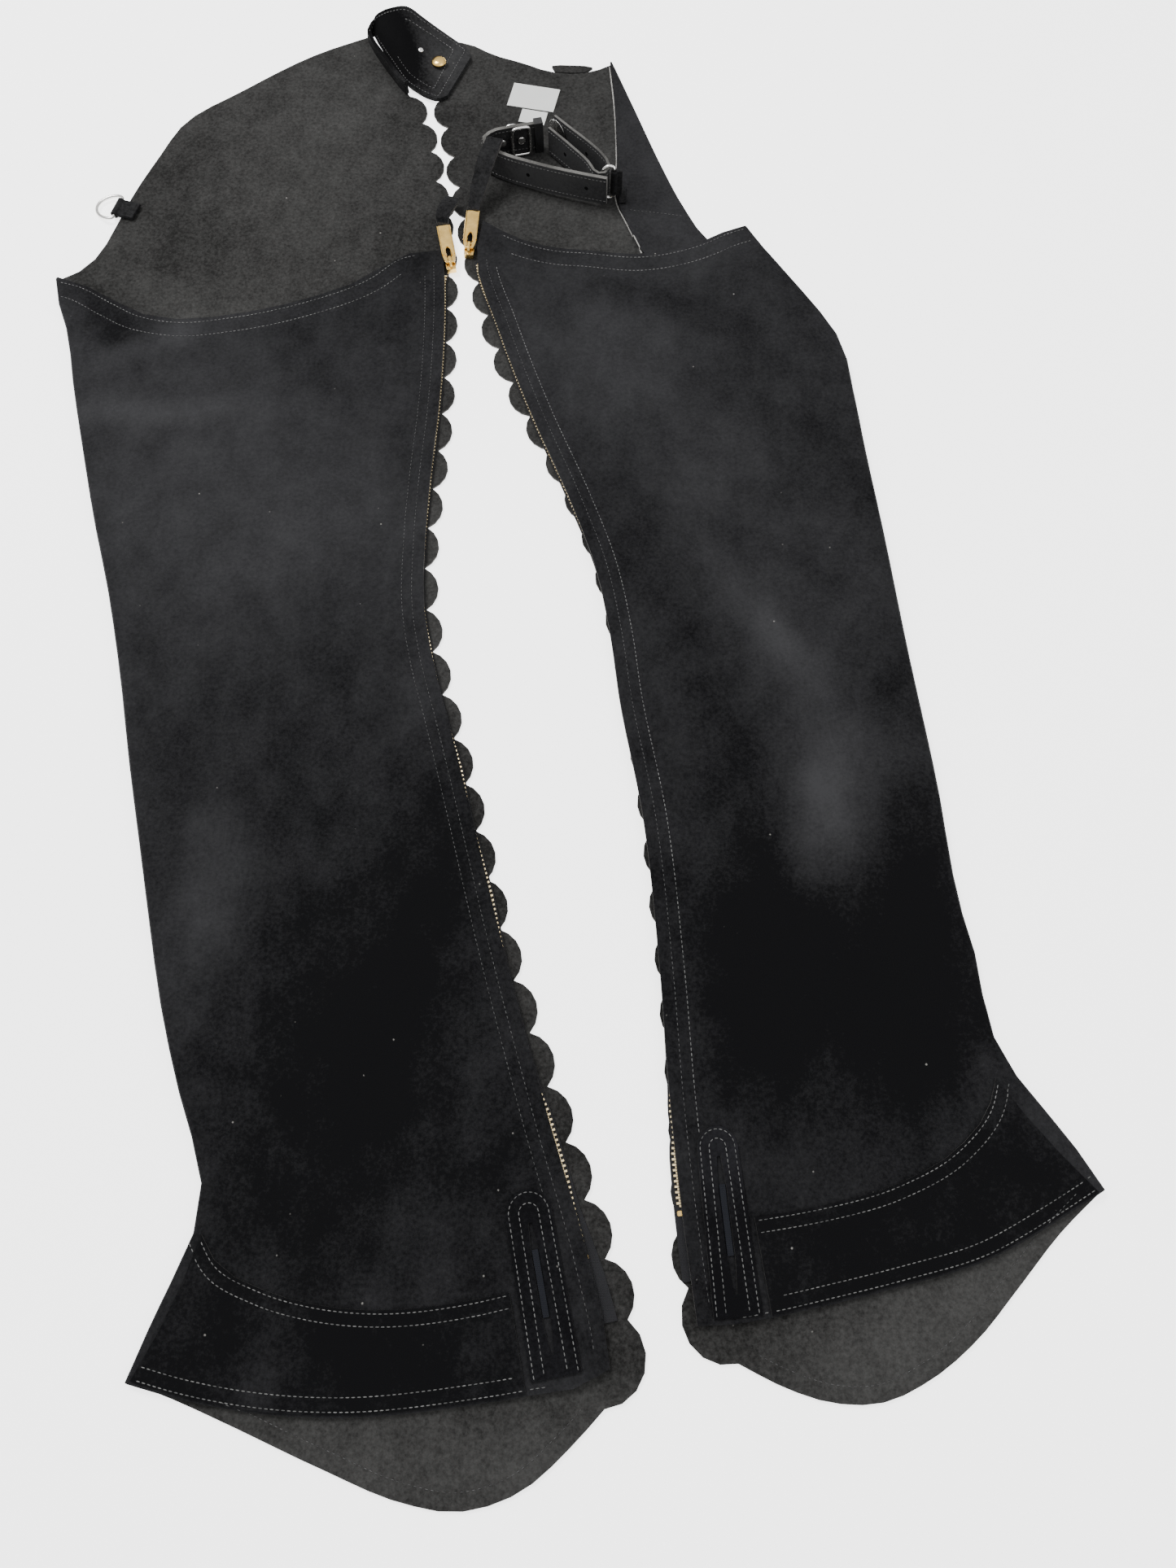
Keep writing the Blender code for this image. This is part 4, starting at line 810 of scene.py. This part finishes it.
# Legs, flares and slot patches.
left_leg = dressed_leg("left_leg_suede", "leg_left", LEFT_NAP_AND_SHADE)
right_leg = dressed_leg("right_leg_suede", "leg_right", RIGHT_NAP_AND_SHADE)
left_flare = dressed_trim("left_flare_suede", "flare_left", FLARE_FACE, (TRIM, OUTER, EDGE), "garment",
                          True, LEFT_FLARE_NAP_AND_SHADE)
right_flare = dressed_trim("right_flare_suede", "flare_right", FLARE_FACE, (TRIM, OUTER, EDGE), "garment",
                           True, RIGHT_FLARE_NAP_AND_SHADE)
left_patch = dressed_trim("left_slot_patch_suede", "slot_patch_left", TRIM_FACE, (TRIM, TRIM, EDGE), "garment",
                          True, LEFT_FLARE_NAP_AND_SHADE)
right_patch = dressed_trim("right_slot_patch_suede", "slot_patch_right", TRIM_FACE, (TRIM, TRIM, EDGE),
                           "garment", True, RIGHT_FLARE_NAP_AND_SHADE)
for name, node in (("left_slot_hook_tape", "slot_tape_left"), ("right_slot_hook_tape", "slot_tape_right")):
    dressed_trim(name, node, TRIM_FACE, (HOOK, HOOK, HOOK), "garment", True)


# Zips.

def between(rows, at, column):
    """Value of a table's column at a place between its rows."""
    return float(np.interp(at, [row[0] for row in rows], [row[column] for row in rows]))


def zip_parts(side, edge, tape, outward, start, node):
    """Woven tape and closed teeth along one zip edge.  Gives the way the teeth run and their end."""
    path = spline(edge, ZIP_STEPS)
    out = sideways(path) * outward
    build = bmesh.new()
    rings = []
    for k in range(TAPE_STATIONS + 1):
        v = start + (TAPE_END - start) * k / TAPE_STATIONS
        at = int(round(v * ZIP_STEPS))
        middle, outer = between(tape, v, 1), between(tape, v, 2)
        section = ((middle - TAPE_IN, 3.1), (middle - 2.0, 2.85), (middle, 2.75), (outer, 2.2),
                   (outer, 2.7), (middle, 3.2), (middle - 2.0, 3.4), (middle - TAPE_IN, 3.75))
        rings.append([build.verts.new(spot(*(path[at] + out[at] * s), z)) for s, z in section])
    for a, b in zip(rings[:-1], rings[1:]):
        for k in range(len(a)):
            build.faces.new((a[k], a[(k + 1) % len(a)], b[(k + 1) % len(a)], b[k]))
    build.faces.new(rings[0])
    build.faces.new(rings[-1])
    bmesh.ops.recalc_face_normals(build, faces=build.faces)
    finished(side + "_zip_tape", build, (TAPE,), "garment", (node,))
    line = []
    for k in range(ZIP_STEPS + 1):
        v = k / ZIP_STEPS
        if start <= v <= LAST_TOOTH:
            line.append(path[k] + out[k] * between(tape, v, 1))
    rows = []
    up = Vector((0, 0, 1))
    for n, (here, ahead, back) in enumerate(zip(*even_places(line, TOOTH_PITCH / 2))):
        along = Vector((*(ahead - back), 0)).normalized()
        across = along.cross(up) * (1 if n % 2 else -1)
        rows.append((spot(*here, TOOTH_HEIGHT) + across * TOOTH_OFFSET * MM, along, up))
    repeated(side + "_zip_teeth", rows, TOOTH_TREE, "garment")
    return Vector((*(line[-1] - line[-8]), 0)).normalized(), line[-1]


left_zip_end = zip_parts("left", LEFT_ZIP, LEFT_TAPE, 1, LEFT_START, "zip_left")
right_zip_end = zip_parts("right", RIGHT_ZIP, RIGHT_TAPE, -1, RIGHT_START, "zip_right")


# Metal pieces and small leather ones keep their packed form, with rounded edges.

def rounded(name, node, finish, body, width):
    build = merged_copy(node)
    bmesh.ops.dissolve_limit(build, angle_limit=math.radians(0.8), verts=build.verts, edges=build.edges)
    piece = finished(name, build, (finish,), body, (node,), 35.0)
    soft = piece.modifiers.new("rounding", 'BEVEL')
    soft.width = width * MM
    soft.segments = 2
    soft.limit_method = 'ANGLE'
    soft.angle_limit = math.radians(34)
    soft.harden_normals = False


def round_wire(name, node, finish, body):
    """A ring: its packed facets joined into four-sided faces and smoothed."""
    build = merged_copy(node)
    bmesh.ops.join_triangles(build, faces=build.faces, angle_face_threshold=0.6, angle_shape_threshold=1.2)
    piece = finished(name, build, (finish,), body, (node,), 80.0)
    fine = piece.modifiers.new("smoothing", 'SUBSURF')
    fine.levels = 2
    fine.render_levels = 2


for side, body in (("left", "pull_left"), ("right", "pull_right")):
    rounded(side + "_slider_brass", "zip_slider_" + side, BRASS, "garment", 0.25)
    rounded(side + "_pull_brass", "zip_pull_" + side, BRASS, body, 0.3)
    dressed_trim(side + "_pull_suede_tab", "pull_tab_" + side, TAB_FACE, (STRAP, STRAP, EDGE), body,
                 crumple=1.0)
rounded("snap_cap", "belt_snap", BRASS, "garment", 0.15)
round_wire("side_ring_wire", "ring_left", NICKEL, "side_ring")
round_wire("strap_ring_wire", "ring_right", NICKEL, "garment")
round_wire("buckle_wire", "buckle_frame", NICKEL, "garment")
for name, node in (("back_concho", "concho_back"), ("front_concho", "concho_front"),
                   ("left_strap_screw", "strap_screw_left"), ("right_strap_screw", "strap_screw_right")):
    rounded(name, node, NICKEL, "garment", 0.12)
rounded("strap_keeper_leather", "strap_keeper", LEATHER, "garment", 0.3)
for name, node in (("side_ring_suede_loop", "ring_loop_left"), ("strap_ring_suede_loop", "ring_loop_right"),
                   ("strap_ring_loop_base", "ring_loop_base")):
    rounded(name, node, STRAP, "garment", 0.3)
rounded("front_belt_end", "belt_end_behind", INNER, "garment", 0.3)

# Belt and straps.
belt_band = dressed_trim("back_belt_suede", "back_belt", TRIM_FACE, (STRAP, STRAP, RIM), "garment",
                         spots=BELT_PAINTED_SHADE_AND_LIGHT, bend=85.0)
for name, node in (("long_strap_suede", "front_strap_long"), ("short_strap_suede", "front_strap_short")):
    dressed_trim(name, node, STRAP_FACE, (STRAP, STRAP, RIM), "garment", spots=STRAP_LIGHTER_PATCHES)
for name, node in (("woven_label_satin", "woven_label"), ("size_tab_satin", "size_tab")):
    rounded(name, node, SATIN, "garment", 0.15)


# Stitching.
ground = surface_of((left_leg, right_leg, left_flare, right_flare, left_patch, right_patch))
left_paths = [beside(LEFT_TOP, -3.5, 0.02, 0.93), beside(LEFT_TOP, -17.0, 0.02, 0.86),
              beside(LEFT_HEM, 3.0, 0.01, 0.86), beside(LEFT_HEM, 10.0, 0.015, 0.80),
              beside(LEFT_FLARE_SEAM, -1.8), beside(LEFT_FLARE_SEAM, -8.3)]
right_paths = [beside(RIGHT_TOP, 3.5, 0.02, 0.90), beside(RIGHT_TOP, 17.0, 0.02, 0.84),
               beside(RIGHT_ZIP, 15.0, 0.06, 0.88),
               beside(RIGHT_HEM, -3.0, 0.01, 0.9), beside(RIGHT_HEM, -10.0, 0.015, 0.80),
               beside(RIGHT_FLARE_SEAM, 1.8), beside(RIGHT_FLARE_SEAM, 8.3)]
left_paths += patch_rows(LEFT_PATCH, (1.8, 7.6))
right_paths += patch_rows(RIGHT_PATCH, (1.8, 7.0))
repeated("left_leg_stitching", sewn(left_paths, ground), STITCH_TREE, "garment")
repeated("right_leg_stitching", sewn(right_paths, ground), STITCH_TREE, "garment")
worn_paths = [beside(LEFT_LOBE, -9.0, 0.03, 0.9), beside(RIGHT_LOBE, 9.0, 0.03, 0.97), LAPEL_SEAM,
              beside(LEFT_ZIP, -8.0, 0.02, 0.985), beside(LEFT_ZIP, -15.0, 0.03, 0.89),
              beside(RIGHT_ZIP, 8.0, 0.05, 0.985)]
repeated("worn_stitching", sewn(worn_paths, ground), DULL_TREE, "garment")

strap_rows = standing_rows(LONG_STRAP, BELT) + standing_rows(SHORT_STRAP, SHORT_STRAP_THICK)
repeated("strap_stitching", strap_rows, STITCH_TREE, "garment")


def belt_rows(insets, start, stop):
    """Stitch places on the upper face of the belt, set in from its long edges and round its end."""
    lines = spline(BELT_ROWS, EDGE_STEPS)
    far, near = lines[:, :3], lines[:, 3:]
    width = np.linalg.norm(far - near, axis=1)
    middle = (far + near) / 2
    rows = []
    for inset in insets:
        last = int(EDGE_STEPS * stop) - int(inset / 1.1)
        first = int(EDGE_STEPS * start)
        paths = []
        for a, b in ((far, near), (near, far)):
            paths.append([a[k] + (b[k] - a[k]) * inset / width[k] for k in range(first, last)])
        corner = 5.0 / width[last]
        for path, other in ((paths[0], paths[1]), (paths[1], paths[0])):
            path[-1] = path[-1] + (other[-1] - path[-1]) * corner * 0.5
        paths.append(np.linspace(paths[0][-1], paths[1][-1], 20))
        for path in paths:
            for here, ahead, back in zip(*even_places(path, STITCH_PITCH)):
                along = Vector(ahead - back).normalized()
                k = min(max(int(np.argmin(np.linalg.norm(middle - here, axis=1))), 1), EDGE_STEPS - 1)
                running = Vector(middle[k + 1] - middle[k - 1]).normalized()
                up = Vector(near[k] - far[k]).normalized().cross(running).normalized()
                rows.append((spot(*here) + up * 0.15 * MM, along, up))
    return rows


belt_stitches = belt_rows((3.0,), 0.34, 0.985) + belt_rows((10.0,), 0.66, 0.985)
repeated("belt_stitching", belt_stitches, STITCH_TREE, "garment")


# Raw edges, near-black discs that paint the shade inside punched holes, and small metal.

def tube(name, places, radius, finish, body):
    """A thin round line through places in the frame, closed at both ends."""
    build = bmesh.new()
    rings = []
    up = Vector((0, 0, 1))
    for k, place in enumerate(places):
        along = (places[min(k + 1, len(places) - 1)] - places[max(k - 1, 0)]).normalized()
        across = along.cross(up).normalized()
        over = across.cross(along)
        wide = radius * (1 + 0.35 * noise.noise(place * 400)) * MM
        rings.append([build.verts.new(place + wide * (across * math.cos(a) + over * math.sin(a)))
                      for a in (math.tau * i / 6 for i in range(6))])
    for a, b in zip(rings[:-1], rings[1:]):
        for i in range(6):
            build.faces.new((a[i], a[(i + 1) % 6], b[(i + 1) % 6], b[i]))
    build.faces.new(rings[0])
    build.faces.new(rings[-1])
    bmesh.ops.recalc_face_normals(build, faces=build.faces)
    return finished(name, build, (finish,), body)


def raw_edge(name, line, radius, inset, finish):
    places = []
    path = spline(line, 220)[:, :2]
    for x, y in path + sideways(path) * inset:
        place = spot(x, y)
        level = height_on(ground, place.x, place.y)
        if level is not None:
            places.append(Vector((place.x, place.y, level + 0.15 * MM)))
    return tube(name, places, radius, finish, "garment")


def discs(name, rows, radius, height, finish):
    """Low round caps set on places in the frame, each facing its own way."""
    build = bmesh.new()
    for place, facing in rows:
        turn = facing.to_track_quat('Z', 'Y').to_matrix().to_4x4()
        steps = ((radius, -0.2), (radius, height * 0.4), (radius * 0.82, height * 0.85),
                 (radius * 0.4, height))
        rings = []
        for size, level in steps:
            around = [Vector((size * math.cos(a), size * math.sin(a), level))
                      for a in (math.tau * i / 20 for i in range(20))]
            rings.append([build.verts.new(place + (turn @ p) * MM) for p in around])
        for a, b in zip(rings[:-1], rings[1:]):
            for i in range(20):
                build.faces.new((a[i], a[(i + 1) % 20], b[(i + 1) % 20], b[i]))
        build.faces.new(rings[0])
        build.faces.new(rings[-1])
    bmesh.ops.recalc_face_normals(build, faces=build.faces)
    return finished(name, build, (finish,), "garment")


def on_strap(line, at, thickness, side):
    """A place on one face of a standing strap, and the way it faces."""
    path = spline(line, 200)
    k = int(at * 200)
    along = Vector(path[k + 1] - path[k - 1]).normalized()
    out = Vector((-along.y, along.x, 0)).normalized() * side
    return spot(path[k][0], path[k][1], path[k][2] + STRAP_MIDDLE) + out * (thickness / 2) * MM, out


def pull_rails(side, slider, body):
    """Raised rims of a zip pull: one along each side, and an arch round its slot, open at the bridge."""
    x0, y0, degrees = slider
    c, s = math.cos(math.radians(degrees)), math.sin(math.radians(degrees))

    def at(x, y):
        return spot(x0 + c * x - s * y, y0 + s * x + c * y, PULL_FACE + 0.05)

    ways = []
    for sign in (1, -1):
        ways.append([at(sign * (PULL_HALF - 0.6), 7 + (PULL_LENGTH - 8) * k / 20) for k in range(21)])
    around = []
    for k in range(33):
        a = 2.0 * (k / 16 - 1)
        around.append(at(2.5 * math.sin(a), 8.2 + 7.2 * math.cos(a) * (1 - 0.12 * math.sin(a) ** 2)))
    ways.append(around)
    for number, way in enumerate(ways):
        tube("%s_pull_rim_%d" % (side, number + 1), way, 0.62, BRASS, body)


def zip_stop(side, along, end):
    """The metal stop below the last tooth."""
    build = bmesh.new()
    bmesh.ops.create_cube(build, size=1.0)
    turn = along.to_track_quat('Y', 'Z').to_matrix().to_4x4()
    place = Matrix.Translation(spot(*end, 3.2) + along * 3.2 * MM)
    bmesh.ops.transform(build, matrix=place @ turn @ Matrix.Diagonal((4.6 * MM, 2.8 * MM, 2.3 * MM, 1.0)),
                        verts=build.verts)
    bmesh.ops.bevel(build, geom=build.edges, offset=0.4 * MM, segments=2, affect='EDGES')
    finished(side + "_zip_stop", build, (BRASS,), "garment")


for side, slider in (("left", LEFT_SLIDER), ("right", RIGHT_SLIDER)):
    pull_rails(side, slider, "pull_" + side)
zip_stop("left", *left_zip_end)
zip_stop("right", *right_zip_end)
raw_edge("lapel_raw_edge", LAPEL_EDGE, 0.55, -0.5, PALE_EDGE)
# The strap holes are not cut through: a near-black disc on each face paints the shade inside the hole.
strap_hole_shade_places = [on_strap(LONG_STRAP, at, BELT, side) for at in (0.10, 0.40) for side in (1, -1)]
for at in (0.06, 0.26, 0.86):
    strap_hole_shade_places += [on_strap(SHORT_STRAP, at, SHORT_STRAP_THICK, side) for side in (1, -1)]
discs("strap_hole_shade_discs", strap_hole_shade_places, 1.6, 0.12, HOLE_SHADE)

belt_top = surface_of((belt_band,))
rivet_at = spot(*RIVET)
belt_hit = belt_top.ray_cast(Vector((rivet_at.x, rivet_at.y, 0.2)), Vector((0, 0, -1)))
discs("belt_rivet", [(belt_hit[0], belt_hit[1])], 2.2, 1.0, NICKEL)


# Floor, light and camera.

def floor():
    build = bmesh.new()
    bmesh.ops.create_grid(build, x_segments=2, y_segments=2, size=20.0)
    mesh = bpy.data.meshes.new("floor")
    build.to_mesh(mesh)
    build.free()
    f = Finish("pale_floor", 0.9)
    f.colour((0.95, 0.95, 0.95))
    f.shader.inputs["Emission Color"].default_value = (1.0, 1.0, 1.0, 1.0)
    f.shader.inputs["Emission Strength"].default_value = 2.2
    mesh.materials.append(f.material)
    thing = bpy.data.objects.new("floor", mesh)
    thing.location.z = -0.0006
    bpy.context.scene.collection.objects.link(thing)


def area_light(name, place, target, size, power):
    lamp = bpy.data.lights.new(name, 'AREA')
    lamp.shape = 'RECTANGLE'
    lamp.size, lamp.size_y = size
    lamp.energy = power
    thing = bpy.data.objects.new(name, lamp)
    thing.location = place
    thing.rotation_euler = (Vector(target) - Vector(place)).to_track_quat('-Z', 'Y').to_euler()
    bpy.context.scene.collection.objects.link(thing)


def pale_room():
    """A soft sky that is darker towards the horizon."""
    world = bpy.data.worlds.new("pale_room")
    world.use_nodes = True
    nodes, links = world.node_tree.nodes, world.node_tree.links
    nodes["Background"].inputs["Color"].default_value = (1.0, 1.0, 1.0, 1.0)
    level = nodes.new("ShaderNodeMapRange")
    split = nodes.new("ShaderNodeSeparateXYZ")
    links.new(nodes.new("ShaderNodeTexCoord").outputs["Generated"], split.inputs["Vector"])
    links.new(split.outputs["Z"], level.inputs["Value"])
    for key, number in (("From Min", 0.0), ("From Max", 0.9), ("To Min", 0.45), ("To Max", 1.25)):
        level.inputs[key].default_value = number
    links.new(level.outputs["Result"], nodes["Background"].inputs["Strength"])
    bpy.context.scene.world = world


def camera():
    lens = bpy.data.cameras.new("camera")
    lens.sensor_width = 36.0
    lens.lens = 27.03
    lens.clip_start = 0.01
    thing = bpy.data.objects.new("camera", lens)
    thing.location = (0.0605, -0.4308, 0.715)
    thing.rotation_euler = (math.radians(21.6), 0.0, 0.0)
    bpy.context.scene.collection.objects.link(thing)
    bpy.context.scene.camera = thing


floor()
area_light("key_light", (-0.9, 0.9, 1.9), (0.0, 0.0, 0.0), (0.9, 0.7), 46.0)
area_light("fill_light", (1.2, -0.6, 1.7), (0.0, 0.1, 0.0), (1.6, 1.6), 12.0)
pale_room()
camera()

bpy.context.view_layer.update()
